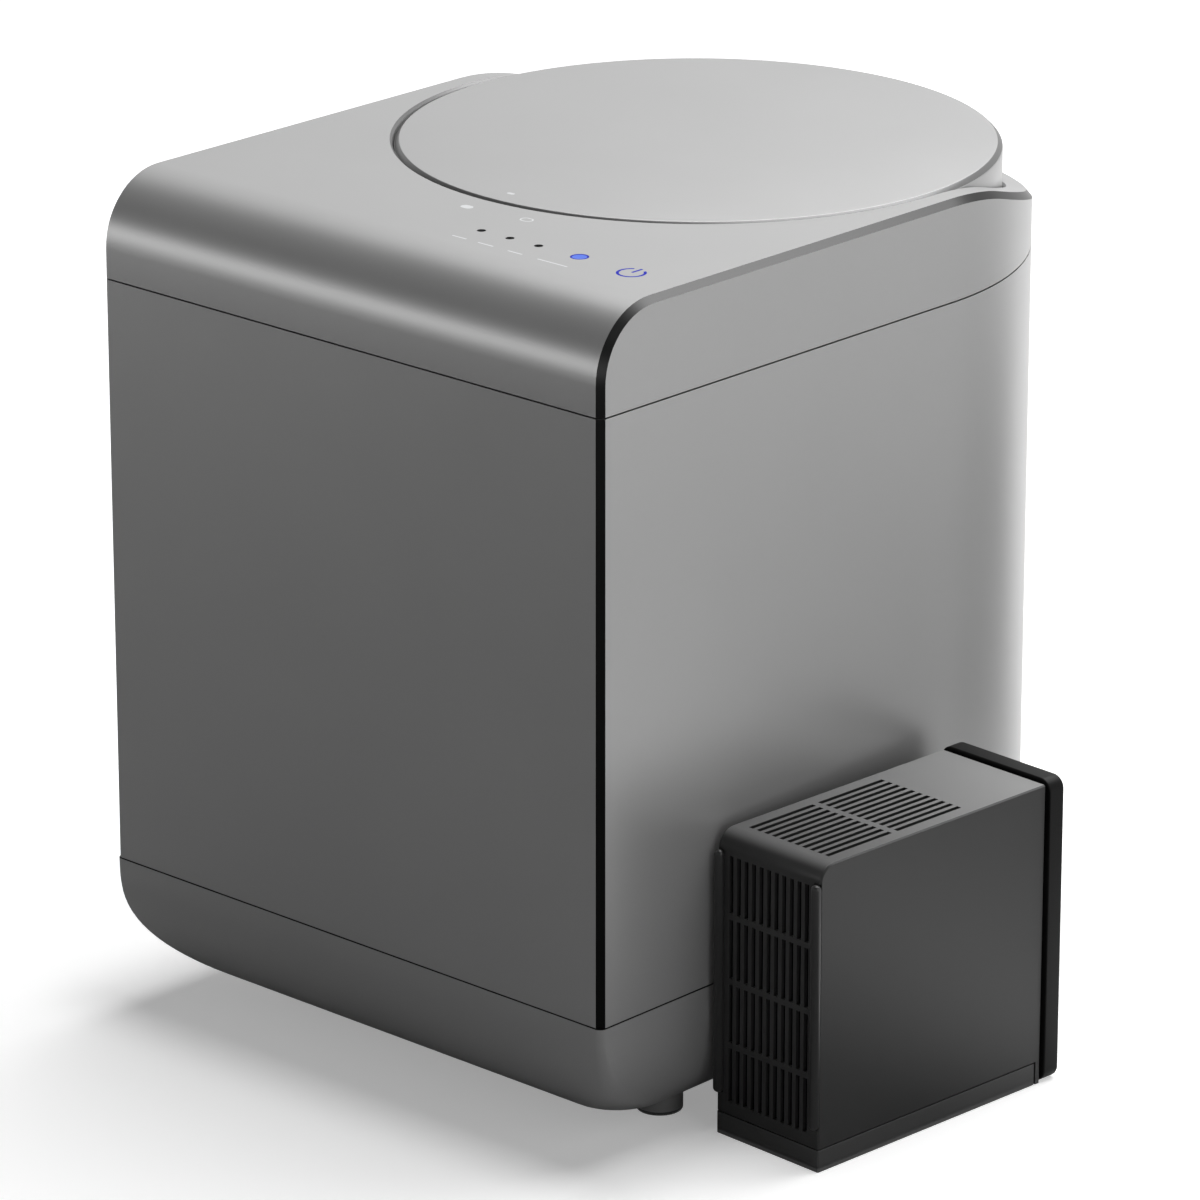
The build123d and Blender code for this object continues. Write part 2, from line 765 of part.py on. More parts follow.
# ---------------------------------------------------------------- compost tank
# A trough round the mixing shaft; its back wall leans out below the feed opening.
def tank_solid(grow):
    """Solid of the tank's inside, grown outwards by a wall."""
    with BuildPart() as solid:
        with BuildSketch(Plane.YZ.offset(-tank_half_w - grow)):
            with BuildLine():
                front_y = tank_front_y - grow
                rear_y = tank_front_y + 2 * trough_r + grow
                lean = radians(ramp_angle / 2)
                down = grow * tan(lean)
                back_y = tank_back_y + grow
                Polyline(
                    (rear_y, shaft_z),
                    (rear_y, ramp_low_z - down),
                    (back_y, ramp_high_z - down),
                    (back_y, tank_top_z),
                    (front_y, tank_top_z),
                    (front_y, shaft_z),
                )
                ThreePointArc(
                    (front_y, shaft_z),
                    (shaft_y, shaft_z - trough_r - grow),
                    (rear_y, shaft_z),
                )
            make_face()
        extrude(amount=2 * (tank_half_w + grow))
        with BuildSketch():
            with Locations((0, side_depth)):
                Circle(tank_plan_r + grow)
            with Locations((0, side_depth / 2)):
                Rectangle(2 * (tank_plan_r + grow), side_depth)
        extrude(amount=z_top, mode=Mode.INTERSECT)
    return solid.part


def tank_rim(grow):
    """Plan of the tank's upper end, grown outwards."""
    with BuildSketch(Plane.XY.offset(tank_top_z - tank_flange_t)) as plan:
        with Locations((0, side_depth)):
            Circle(tank_plan_r + grow)
        with Locations((0, side_depth / 2)):
            Rectangle(2 * (tank_plan_r + grow), side_depth)
        with Locations((0, (tank_front_y + tank_back_y) / 2)):
            Rectangle(
                2 * (tank_half_w + grow),
                tank_back_y - tank_front_y + 2 * grow,
                mode=Mode.INTERSECT,
            )
    return plan.sketch


ramp_angle = degrees(atan2(ramp_high_z - ramp_low_z, tank_back_y - tank_front_y - 2 * trough_r))
ear_x = tank_half_w + tank_wall + tank_flange_w + ear_r - 1
ear_spots = [(sx * ear_x, y) for sx in (-1, 1) for y in (plate_front_y + 12, plate_back_y - 12)]

with BuildPart() as compost_tank:
    add(tank_solid(tank_wall))
    add(tank_rim(tank_wall + tank_flange_w))
    extrude(amount=tank_flange_t)
    with BuildSketch(Plane.XY.offset(tank_top_z - tank_flange_t)):
        with Locations(*ear_spots):
            Circle(ear_r)
        with Locations(*[(x - copysign(ear_r / 2, x), y) for x, y in ear_spots]):
            Rectangle(ear_r, 2 * ear_r)
    extrude(amount=tank_flange_t)
    add(tank_solid(0), mode=Mode.SUBTRACT)
    with BuildSketch(Plane.XY.offset(tank_top_z - tank_flange_t)):
        with Locations(*ear_spots):
            Circle(screw_r + fit_gap)
    extrude(amount=tank_flange_t, mode=Mode.SUBTRACT)
    # bores for the shaft's bushes
    with BuildSketch(Plane.YZ.offset(-tank_half_w - overrun)):
        with Locations((shaft_y, shaft_z)):
            Circle(bush_r)
    extrude(amount=2 * (tank_half_w + overrun), mode=Mode.SUBTRACT)
    # slits towards the fan's duct
    with BuildSketch(Plane.XZ.offset(-tank_back_y + tank_wall)):
        for index in range(vent_count):
            x = (index - (vent_count - 1) / 2) * vent_w / vent_count
            with Locations((x, vent_z)):
                SlotOverall(vent_h, vent_slit, rotation=90)
    extrude(amount=-3 * tank_wall, mode=Mode.SUBTRACT)
compost_tank.part.label = "compost_tank"
machine_parts.append(compost_tank.part)

# Deck that closes the tank round the chute.
with BuildPart() as tank_deck:
    add(tank_rim(tank_wall + tank_flange_w).moved(Location((0, 0, tank_flange_t))))
    extrude(amount=deck_t)
    with BuildSketch(Plane.XY.offset(tank_top_z)):
        with Locations((0, side_depth)):
            Circle(feed_r)
    extrude(amount=deck_t, mode=Mode.SUBTRACT)
    # low bead inside the tank's rim, so that the deck can't slide
    add(tank_rim(-fit_gap).moved(Location((0, 0, tank_flange_t - deck_t))))
    extrude(amount=deck_t)
    add(tank_rim(-fit_gap - 2 * deck_t).moved(Location((0, 0, tank_flange_t - deck_t))))
    extrude(amount=deck_t, mode=Mode.SUBTRACT)
tank_deck.part.label = "tank_deck"
machine_parts.append(tank_deck.part)

# Heating mat bonded round the underside of the trough, with its terminal block.
heater_r = trough_r + tank_wall
with BuildPart() as heater_pad:
    with BuildSketch(axle_plane(shaft_z, -heater_w / 2)):
        with BuildLine():
            reach = 2 * heater_r
            Polyline(
                (0, 0),
                (-reach * tan(radians(heater_half_angle)), -reach),
                (reach * tan(radians(heater_half_angle)), -reach),
                close=True,
            )
        make_face()
        Circle(heater_r + heater_t, mode=Mode.INTERSECT)
        Circle(heater_r, mode=Mode.SUBTRACT)
    extrude(amount=heater_w)
heater_pad.part.label = "heater_pad"
machine_parts.append(heater_pad.part)

# ---------------------------------------------------------------- cradle and drive plate
# Two bent sheets stand on pads in the base and carry the tank's flange; the right one also
# carries the gear train and the motor.
def side_plate(side):
    """Bent sheet on one side of the tank, with its foot, its upper tab and the shaft's bore."""
    low_z, high_z = plate_foot_z, tank_top_z - tank_flange_t
    with BuildPart() as plate:
        with BuildSketch(Plane.XZ.offset(-plate_front_y)):
            with BuildLine():
                outer = plate_x + plate_t
                Polyline(
                    (side * (outer - plate_foot_w), low_z),
                    (side * outer, low_z),
                    (side * outer, high_z - plate_t),
                    (side * (outer + plate_tab_w), high_z - plate_t),
                    (side * (outer + plate_tab_w), high_z),
                    (side * plate_x, high_z),
                    (side * plate_x, low_z + plate_t),
                    (side * (outer - plate_foot_w), low_z + plate_t),
                    close=True,
                )
            make_face()
        extrude(amount=plate_front_y - plate_back_y)
        with BuildSketch(Plane.YZ.offset(side * plate_x)):
            with Locations((shaft_y, shaft_z)):
                Circle(bush_r)
            # windows that lighten the sheet
            with Locations(
                (shaft_y - plate_window_step, window_z), (shaft_y + plate_window_step, window_z)
            ):
                RectangleRounded(plate_window_w, plate_window_h, 6)
        extrude(amount=side * plate_t, mode=Mode.SUBTRACT)
        with BuildSketch(Plane.XY.offset(high_z - plate_t)):
            with Locations(*ear_spots):
                Circle(screw_r)
        extrude(amount=plate_t, mode=Mode.SUBTRACT)
    return plate.part


with BuildPart() as tank_cradle:
    add(side_plate(-1))
tank_cradle.part.label = "tank_cradle"
machine_parts.append(tank_cradle.part)

motor_screws_at = [
    (shaft_y + sy * motor_screw_offset, motor_z + sz * motor_screw_offset)
    for sy in (-1, 1)
    for sz in (-1, 1)
]
with BuildPart() as drive_plate:
    add(side_plate(1))
    with BuildSketch(Plane.YZ.offset(plate_x)):
        with Locations((shaft_y, idler_z)):
            Circle(idler_axle_r)
        with Locations((shaft_y, motor_z)):
            Circle(pinion_shaft_r + plate_t)
        with Locations(*motor_screws_at):
            Circle(screw_r)
    extrude(amount=plate_t, mode=Mode.SUBTRACT)
drive_plate.part.label = "drive_plate"
machine_parts.append(drive_plate.part)

with BuildPart() as tank_screws:
    with BuildSketch(Plane.XY.offset(tank_top_z - tank_flange_t - 2 * plate_t)):
        with Locations(*ear_spots):
            Circle(screw_r)
    extrude(amount=2 * plate_t + tank_flange_t)
    with BuildSketch(Plane.XY.offset(tank_top_z)):
        with Locations(*ear_spots):
            Circle(screw_head_r)
    extrude(amount=screw_head_h)
tank_screws.part.label = "tank_screws"
machine_parts.append(tank_screws.part)

# ---------------------------------------------------------------- shaft bushes
for label, side in (("shaft_bush_left", -1), ("shaft_bush_right", 1)):
    with BuildPart() as bush:
        with BuildSketch(Plane.YZ.offset(side * tank_half_w)):
            with Locations((shaft_y, shaft_z)):
                Circle(bush_r)
        extrude(amount=side * (plate_x + plate_t - tank_half_w))
        with BuildSketch(Plane.YZ.offset(side * (tank_half_w - bush_flange_t))):
            with Locations((shaft_y, shaft_z)):
                Circle(bush_flange_r)
        extrude(amount=side * bush_flange_t)
        with BuildSketch(Plane.YZ.offset(side * (tank_half_w - bush_flange_t))):
            with Locations((shaft_y, shaft_z)):
                Circle(shaft_r + running_gap)
        extrude(amount=side * (overrun + plate_t), mode=Mode.SUBTRACT)
    bush.part.label = label
    machine_parts.append(bush.part)

# ---------------------------------------------------------------- mixing shaft
shaft_left_x = -(plate_x + 2 * plate_t)
shaft_right_x = gear_x + gear_w + shaft_end
with BuildPart() as mixing_shaft:
    with BuildSketch(Plane.YZ.offset(shaft_left_x)):
        with Locations((shaft_y, shaft_z)):
            Circle(shaft_r)
    extrude(amount=shaft_right_x - shaft_left_x)
    chamfer(mixing_shaft.edges().filter_by(GeomType.CIRCLE), shaft_bevel)
mixing_shaft.part.label = "mixing_shaft"
machine_parts.append(mixing_shaft.part)

# Six paddles, each turned a sixth further than the last, with a canted blade.
for index in range(arm_count):
    x = (index - (arm_count - 1) / 2) * arm_pitch
    turn = index * 360 / arm_count
    out = Vector(0, cos(radians(turn)), sin(radians(turn)))
    hub_plane = Plane(origin=(x - arm_hub_w / 2, shaft_y, shaft_z), x_dir=out, z_dir=(1, 0, 0))
    with BuildPart() as paddle:
        with BuildSketch(hub_plane):
            Circle(arm_hub_r)
            Circle(shaft_r, mode=Mode.SUBTRACT)
        extrude(amount=arm_hub_w)
        arm_plane = Plane(
            origin=Vector(x, shaft_y, shaft_z) + out * (arm_hub_r - 1), x_dir=(1, 0, 0), z_dir=out
        )
        with BuildSketch(arm_plane):
            RectangleRounded(arm_w, arm_t, arm_t / 3)
        extrude(amount=arm_reach - blade_h - arm_hub_r + 2)
        blade_plane = Plane(
            origin=Vector(x, shaft_y, shaft_z) + out * (arm_reach - blade_h),
            x_dir=Vector(1, 0, 0).rotate(Axis((0, 0, 0), out), blade_cant),
            z_dir=out,
        )
        with BuildSketch(blade_plane):
            RectangleRounded(blade_w, blade_t, blade_t / 2.5)
        extrude(amount=blade_h)
    paddle.part.label = f"mixing_paddle_{index + 1}"
    machine_parts.append(paddle.part)


# ---------------------------------------------------------------- gear train
def gear_face(teeth, turn):
    """Involute gear seen along its axis, its first tooth at the angle turn."""
    pitch_r = module * teeth / 2
    base_r = pitch_r * cos(radians(pressure_angle))
    root_r = pitch_r - 1.25 * module
    tip_r = pitch_r + module
    half_at_pitch = pi / (2 * teeth) - backlash / (2 * pitch_r)
    involute = tan(radians(pressure_angle)) - radians(pressure_angle)

    def flank(radius, sign):
        """Point of one flank at a radius; inside the base circle the flank is radial."""
        roll = acos(min(1.0, base_r / radius))
        angle = sign * (half_at_pitch + involute - tan(roll) + roll)
        return (radius * cos(angle), radius * sin(angle))

    start_r = max(base_r, root_r)
    middle_r = (start_r + tip_r) / 2
    foot_angle = half_at_pitch + involute
    tooth_foot = root_r - module / 4
    with BuildSketch() as tooth:
        with BuildLine():
            up = ThreePointArc(flank(start_r, -1), flank(middle_r, -1), flank(tip_r, -1))
            tip = Line(up @ 1, flank(tip_r, 1))
            down = ThreePointArc(tip @ 1, flank(middle_r, 1), flank(start_r, 1))
            Polyline(
                down @ 1,
                (tooth_foot * cos(foot_angle), tooth_foot * sin(foot_angle)),
                (tooth_foot * cos(foot_angle), -tooth_foot * sin(foot_angle)),
                up @ 0,
            )
        make_face()
    with BuildSketch() as face:
        Circle(root_r)
        with PolarLocations(0, teeth, start_angle=turn):
            add(tooth.sketch)
    return face.sketch


def meshing_turn(turn, teeth, other_teeth):
    """Turn of the gear below that puts its teeth in the gaps of the gear above it."""
    share = (-90 - turn) * teeth / 360
    return 90 - 360 / other_teeth * (0.5 - share)


idler_turn = meshing_turn(0, driven_teeth, idler_teeth)
pinion_turn = meshing_turn(idler_turn, idler_teeth, pinion_teeth)
gear_hub_x = plate_x + plate_t + fit_gap

with BuildPart() as driven_gear:
    with BuildSketch(axle_plane(shaft_z)):
        add(gear_face(driven_teeth, 0))
    extrude(amount=gear_w)
    # thinned web with round windows, between the hub and the toothed rim
    for x, amount in ((gear_x, web_cut), (gear_x + gear_w, -web_cut)):
        with BuildSketch(axle_plane(shaft_z, x)):
            Circle(driven_pr - 3 * module)
            Circle(gear_hub_r, mode=Mode.SUBTRACT)
        extrude(amount=amount, mode=Mode.SUBTRACT)
    with BuildSketch(axle_plane(shaft_z)):
        with PolarLocations((driven_pr - 3 * module + gear_hub_r) / 2, 6):
            Circle(web_hole_r)
    extrude(amount=gear_w, mode=Mode.SUBTRACT)
    with BuildSketch(axle_plane(shaft_z, gear_hub_x)):
        Circle(gear_hub_r)
    extrude(amount=gear_x - gear_hub_x)
    with BuildSketch(axle_plane(shaft_z, gear_hub_x)):
        Circle(shaft_r)
    extrude(amount=gear_w + overrun, mode=Mode.SUBTRACT)
driven_gear.part.label = "driven_gear"
machine_parts.append(driven_gear.part)

with BuildPart() as idler_gear:
    with BuildSketch(axle_plane(idler_z)):
        add(gear_face(idler_teeth, idler_turn))
        Circle(idler_axle_r + running_gap, mode=Mode.SUBTRACT)
    extrude(amount=gear_w)
idler_gear.part.label = "idler_gear"
machine_parts.append(idler_gear.part)

# Fixed axle with a shoulder on the plate and a head that keeps the idler on.
with BuildPart() as idler_axle:
    with BuildSketch(axle_plane(idler_z, plate_x)):
        Circle(idler_axle_r)
    extrude(amount=gear_x + gear_w + fit_gap - plate_x)
    with BuildSketch(axle_plane(idler_z, plate_x + plate_t)):
        Circle(axle_collar_r)
    extrude(amount=gear_x - fit_gap - plate_x - plate_t)
    with BuildSketch(axle_plane(idler_z, gear_x + gear_w + fit_gap)):
        Circle(axle_collar_r)
    extrude(amount=axle_head)
idler_axle.part.label = "idler_axle"
machine_parts.append(idler_axle.part)

with BuildPart() as motor_pinion:
    with BuildSketch(axle_plane(motor_z)):
        add(gear_face(pinion_teeth, pinion_turn))
    extrude(amount=gear_w)
    with BuildSketch(axle_plane(motor_z, plate_x - pinion_shaft_depth)):
        Circle(pinion_shaft_r)
    extrude(amount=gear_x - plate_x + pinion_shaft_depth)
motor_pinion.part.label = "motor_pinion"
machine_parts.append(motor_pinion.part)

# ---------------------------------------------------------------- gear motor
with BuildPart() as gear_motor:
    with BuildSketch(axle_plane(motor_z, plate_x - gearbox_len)):
        RectangleRounded(gearbox_w, gearbox_w, gearbox_corner_r)
    extrude(amount=gearbox_len)
    with BuildSketch(axle_plane(motor_z, plate_x - gearbox_len - motor_len)):
        Circle(motor_r)
    extrude(amount=motor_len)
    fillet(gear_motor.edges().filter_by(GeomType.CIRCLE).group_by(Axis.X)[0], motor_edge_r)
    with BuildSketch(axle_plane(motor_z, plate_x - gearbox_len - motor_len - motor_boss)):
        Circle(motor_r / 3)
    extrude(amount=motor_boss)
    with BuildSketch(axle_plane(motor_z, plate_x)):
        Circle(pinion_shaft_r + running_gap)
        with Locations(*[(y - shaft_y, z - motor_z) for y, z in motor_screws_at]):
            Circle(screw_r)
    extrude(amount=-screw_depth, mode=Mode.SUBTRACT)
gear_motor.part.label = "gear_motor"
machine_parts.append(gear_motor.part)

with BuildPart() as motor_screws:
    with BuildSketch(Plane.YZ.offset(plate_x + plate_t - screw_depth)):
        with Locations(*motor_screws_at):
            Circle(screw_r)
    extrude(amount=screw_depth)
    with BuildSketch(Plane.YZ.offset(plate_x + plate_t)):
        with Locations(*motor_screws_at):
            Circle(screw_head_r)
    extrude(amount=screw_head_h)
motor_screws.part.label = "motor_screws"
machine_parts.append(motor_screws.part)

# ---------------------------------------------------------------- power board
with BuildPart() as power_board:
    with BuildSketch(Plane.XY.offset(board_z)):
        with Locations((power_board_x, power_board_y)):
            RectangleRounded(power_board_w, power_board_d, 3)
    extrude(amount=board_t)
    for dx, dy, w, d, h in power_board_blocks:
        with BuildSketch(Plane.XY.offset(board_z + board_t)):
            with Locations((power_board_x + dx, power_board_y + dy)):
                RectangleRounded(w, d, 1.5)
        extrude(amount=h)
    with BuildSketch(Plane.XY.offset(board_z + board_t)):
        with Locations((power_board_x + capacitor_x, power_board_y + capacitor_y)):
            with GridLocations(1, capacitor_pitch, 1, capacitors):
                Circle(capacitor_r)
    extrude(amount=capacitor_h)
power_board.part.label = "power_board"
machine_parts.append(power_board.part)

# ---------------------------------------------------------------- filter bay
# Liner of the slot that takes the cartridge, with a mouth that the cartridge's flange fills
# flush with the body's back.
bay_half_w = cart_w / 2 + bay_gap
seat_y = flange_face_y - flange_t - fit_gap
bay_top_z = bay_floor_z + cart_h + 2 * bay_gap
fan_base_z = bay_top_z + bay_wall

with BuildPart() as filter_bay:
    with BuildSketch(Plane.XZ.offset(-bay_front_y + bay_wall)):
        with Locations((0, (bay_floor_z + bay_top_z) / 2)):
            RectangleRounded(2 * (bay_half_w + bay_wall), bay_top_z - bay_floor_z + 2 * bay_wall, 2)
    extrude(amount=bay_front_y - bay_wall - seat_y)
    with BuildSketch(Plane.XZ.offset(-seat_y + mouth_wall)):
        with Locations((0, mouth_z)):
            RectangleRounded(mouth_w + 2 * mouth_wall, mouth_h + 2 * mouth_wall, mouth_corner_r)
    extrude(amount=seat_y - mouth_wall - body_depth)
    with BuildSketch(Plane.XY):
        add(body_plan(0, 0))
    extrude(amount=z_top, mode=Mode.INTERSECT)
    with BuildSketch(Plane.XZ.offset(-seat_y)):
        with Locations((0, mouth_z)):
            RectangleRounded(mouth_w, mouth_h, flange_corner_r + mouth_gap)
    extrude(amount=seat_y - body_depth, mode=Mode.SUBTRACT)
    with BuildSketch(Plane.XZ.offset(-bay_front_y)):
        with Locations((0, (bay_floor_z + bay_top_z) / 2)):
            Rectangle(2 * bay_half_w, bay_top_z - bay_floor_z)
    extrude(amount=bay_front_y - body_depth, mode=Mode.SUBTRACT)
    # air comes in from the fan above the cartridge
    with BuildSketch(Plane.XY.offset(bay_top_z)):
        with Locations((0, fan_y)):
            Circle(fan_r)
    extrude(amount=bay_wall, mode=Mode.SUBTRACT)
filter_bay.part.label = "filter_bay"
machine_parts.append(filter_bay.part)

# ---------------------------------------------------------------- fan and duct
with BuildPart() as fan_housing:
    with BuildSketch(Plane.XY.offset(fan_base_z)):
        with Locations((0, fan_y)):
            RectangleRounded(fan_w, fan_w, 4)
            Circle(fan_r, mode=Mode.SUBTRACT)
            with GridLocations(fan_w - 9, fan_w - 9, 2, 2):
                Circle(screw_r, mode=Mode.SUBTRACT)
    extrude(amount=fan_h)
    # spider that holds the motor's boss and spindle
    with BuildSketch(Plane.XY.offset(fan_base_z)):
        with Locations((0, fan_y)):
            Circle(fan_hub_r)
            Rectangle(2 * fan_r + 1, spider_w)
            Rectangle(spider_w, 2 * fan_r + 1)
    extrude(amount=spider_w)
    with BuildSketch(Plane.XY.offset(fan_base_z)):
        with Locations((0, fan_y)):
            Circle(spindle_r)
    extrude(amount=fan_h - 3)
fan_housing.part.label = "fan_housing"
machine_parts.append(fan_housing.part)

rotor_z = fan_base_z + spider_w + fit_gap
with BuildPart() as fan_rotor:
    with BuildSketch(Plane.XY.offset(rotor_z)):
        with Locations((0, fan_y)):
            Circle(fan_hub_r)
            Circle(spindle_r + running_gap, mode=Mode.SUBTRACT)
    extrude(amount=fan_h - spider_w - 2)
    for index in range(fan_blades):
        turn = index * 360 / fan_blades
        out = Vector(cos(radians(turn)), sin(radians(turn)), 0)
        root = Plane(
            origin=Vector(0, fan_y, rotor_z + fan_blade_chord / 2) + out * (fan_hub_r - 1),
            x_dir=Vector(0, 0, 1).rotate(Axis((0, 0, 0), out), fan_blade_pitch),
            z_dir=out,
        )
        with BuildSketch(root):
            Rectangle(fan_blade_chord, fan_blade_t)
        extrude(amount=fan_r - 2 - fan_hub_r)
    with BuildSketch(Plane.XY.offset(rotor_z)):
        with Locations((0, fan_y)):
            Circle(fan_r - 1)
    extrude(amount=fan_h - spider_w - 2, mode=Mode.INTERSECT)
fan_rotor.part.label = "fan_rotor"
machine_parts.append(fan_rotor.part)

# Duct from the slits behind the feed opening down to the fan, following the ramp.
duct_low_z = fan_base_z + fan_h
duct_top_z = vent_z + vent_h / 2 + duct_cap
duct_mouth_y = tank_back_y + tank_wall + fit_gap
duct_fan_y = (fan_y - fan_w / 2 + duct_inset, fan_y + fan_w / 2 - duct_inset)
duct_points = [
    (duct_fan_y[0], duct_low_z),
    (duct_fan_y[1], duct_low_z),
    (duct_back_y, duct_low_z + (duct_back_y - duct_fan_y[1]) * duct_side_rise),
    (duct_back_y, duct_top_z),
    (duct_mouth_y, duct_top_z),
    (duct_mouth_y, ramp_high_z - 2 * duct_cap),
    (duct_fan_y[0], duct_low_z + duct_rise),
]
with BuildPart() as air_duct:
    with BuildSketch(Plane.YZ.offset(-duct_half_w)):
        with BuildLine():
            Polyline(*duct_points, close=True)
        make_face()
    extrude(amount=2 * duct_half_w)
    with BuildSketch(Plane.YZ.offset(-duct_half_w + duct_wall)):
        with BuildLine():
            Polyline(*duct_points, close=True)
        make_face()
        offset(amount=-duct_wall, kind=Kind.INTERSECTION)
    extrude(amount=2 * (duct_half_w - duct_wall), mode=Mode.SUBTRACT)
    with BuildSketch(Plane.XY.offset(duct_low_z)):
        with Locations((0, fan_y)):
            Circle(fan_r)
    extrude(amount=2 * duct_wall, mode=Mode.SUBTRACT)
    with BuildSketch(Plane.XZ.offset(-duct_mouth_y)):
        with Locations((0, vent_z)):
            Rectangle(vent_w, vent_h)
    extrude(amount=-2 * duct_wall, mode=Mode.SUBTRACT)
air_duct.part.label = "air_duct"
machine_parts.append(air_duct.part)

# ---------------------------------------------------------------- power inlet
# Moulded socket for a lead with a plug, sunk in the back; its rim follows the round back.
inlet_floor_y = side_depth + sqrt(back_r**2 - (abs(inlet_x) + inlet_w / 2) ** 2) - inlet_sink
with BuildPart() as power_inlet:
    with BuildSketch(Plane.XZ.offset(-inlet_floor_y + inlet_block)):
        with Locations((inlet_x, inlet_z)):
            RectangleRounded(inlet_w, inlet_h, 2)
    extrude(amount=-(back_r - inlet_block))
    with BuildSketch(Plane.XY):
        add(body_plan(0, 0))
    extrude(amount=z_top, mode=Mode.INTERSECT)
    with BuildSketch(Plane.XZ.offset(-inlet_floor_y)):
        with Locations((inlet_x, inlet_z)):
            RectangleRounded(inlet_w - 2 * inlet_rim, inlet_h - 2 * inlet_rim, 3)
    extrude(amount=-back_r / 2, mode=Mode.SUBTRACT)
    with BuildSketch(Plane.XZ.offset(-inlet_floor_y + socket_depth)):
        with BuildLine():
            half_w, half_h = socket_w / 2, socket_h / 2
            bevel = socket_h / 3
            Polyline(
                (inlet_x - half_w, inlet_z - half_h),
                (inlet_x + half_w, inlet_z - half_h),
                (inlet_x + half_w, inlet_z + half_h - bevel),
                (inlet_x + half_w - bevel, inlet_z + half_h),
                (inlet_x - half_w + bevel, inlet_z + half_h),
                (inlet_x - half_w, inlet_z + half_h - bevel),
                close=True,
            )
        make_face()
    extrude(amount=-socket_depth, mode=Mode.SUBTRACT)
power_inlet.part.label = "power_inlet"
machine_parts.append(power_inlet.part)

with BuildPart() as inlet_pins:
    with BuildSketch(Plane.XZ.offset(-inlet_floor_y + socket_depth)):
        with Locations(
            (inlet_x - pin_pitch, inlet_z - pin_w),
            (inlet_x, inlet_z + pin_w),
            (inlet_x + pin_pitch, inlet_z - pin_w),
        ):
            RectangleRounded(pin_w, pin_h, pin_w / 4)
    extrude(amount=-(socket_depth - 2))
inlet_pins.part.label = "inlet_pins"
machine_parts.append(inlet_pins.part)

# ---------------------------------------------------------------- cartridge housing
# Moulded shell, open below, with a grille on the front and two runs of slots on the top.
half_w = cart_w / 2
shell_low_z = tray_h + cart_seam
slot_xs = [(column - (slot_cols - 1) / 2) * slot_pitch for column in range(slot_cols)]
rod_spots = [(side * (half_w - rod_inset), rod_r - rod_proud) for side in (-1, 1)]


def cartridge_profile(inset, low_z, back_y):
    """Side view of the housing, drawn in by a wall: upright front with its top edge rounded."""
    with BuildSketch(Plane.YZ.offset(-half_w + inset)) as profile:
        with BuildLine():
            up = Line((inset, low_z), (inset, cart_h - cart_front_r))
            bend = JernArc(up @ 1, up % 1, cart_front_r - inset, -90)
            Polyline(bend @ 1, (back_y, cart_h - inset), (back_y, low_z), up @ 0)
        make_face()
    return profile.sketch


with BuildPart() as cartridge_housing:
    add(cartridge_profile(0, shell_low_z, cart_len))
    extrude(amount=cart_w, dir=(1, 0, 0))
    with BuildSketch(Plane.XY):
        with Locations((0, cart_len - collar_len / 2)):
            Rectangle(cart_w, collar_len)
    extrude(amount=shell_low_z)
    sides = cartridge_housing.edges().filter_by(lambda edge: abs((edge @ 0.5).X) > half_w - 0.01)
    chamfer([edge for edge in sides if (edge @ 0.5).Z > cart_h - cart_front_r], cart_edge)
    add(cartridge_profile(cart_wall, shell_low_z - 1, cart_len - collar_len))
    extrude(amount=cart_w - 2 * cart_wall, dir=(1, 0, 0), mode=Mode.SUBTRACT)
    for low, high in grille_rows:
        with BuildSketch(Plane.XZ.offset(0.5)):
            with Locations(*[(x, (low + high) / 2) for x in slot_xs]):
                Rectangle(slot_w, high - low)
        extrude(amount=-cart_wall - 1, mode=Mode.SUBTRACT)
    for low, high in top_slot_runs:
        with BuildSketch(Plane.XY.offset(cart_h - cart_wall - 0.5)):
            with Locations(*[(x, (low + high) / 2) for x in slot_xs]):
                Rectangle(slot_w, high - low)
        extrude(amount=cart_wall + 1, mode=Mode.SUBTRACT)
    # rear wall is open to the flange in a row of tall slots
    with BuildSketch(Plane.XZ.offset(-cart_len)):
        with Locations(*[(x * 2, outlet_z) for x in slot_xs if abs(x) < slot_pitch * 3]):
            Rectangle(slot_w * 2, outlet_h)
    extrude(amount=collar_len, mode=Mode.SUBTRACT)
    # half-round seats of the two guide rods
    with BuildSketch(Plane.XY.offset(rod_low_z)):
        with Locations(*rod_spots):
            Circle(rod_r)
    extrude(amount=rod_high_z - rod_low_z, mode=Mode.SUBTRACT)
cartridge_housing.part.label = "cartridge_housing"
cartridge_parts.append(cartridge_housing.part)

# ---------------------------------------------------------------- cartridge tray
with BuildPart() as cartridge_tray:
    tray_len = cart_len - collar_len - cart_seam
    with BuildSketch():
        with Locations((0, tray_len / 2)):
            RectangleRounded(cart_w, tray_len, 1.0)
    extrude(amount=tray_h)
    with BuildSketch(Plane.XY.offset(cart_wall)):
        with Locations((0, tray_len / 2)):
            Rectangle(cart_w - 2 * cart_wall, tray_len - 2 * cart_wall)
    extrude(amount=tray_h, mode=Mode.SUBTRACT)
    # rim that enters the housing
    with BuildSketch(Plane.XY.offset(tray_h - 3)):
        with Locations((0, tray_len / 2)):
            Rectangle(cart_w - 2 * cart_wall, tray_len - 2 * cart_wall)
            Rectangle(
                cart_w - 4 * cart_wall, tray_len - 4 * cart_wall, mode=Mode.SUBTRACT
            )
    extrude(amount=3)
    with BuildSketch(Plane.XY.offset(tray_h - 3)):
        with Locations((0, tray_len / 2)):
            rim_in = cart_wall + fit_gap
            Rectangle(cart_w - 2 * rim_in, tray_len - 2 * rim_in)
            Rectangle(
                cart_w - 4 * cart_wall, tray_len - 4 * cart_wall, mode=Mode.SUBTRACT
            )
    extrude(amount=3 + cart_seam + 2)
cartridge_tray.part.label = "cartridge_tray"
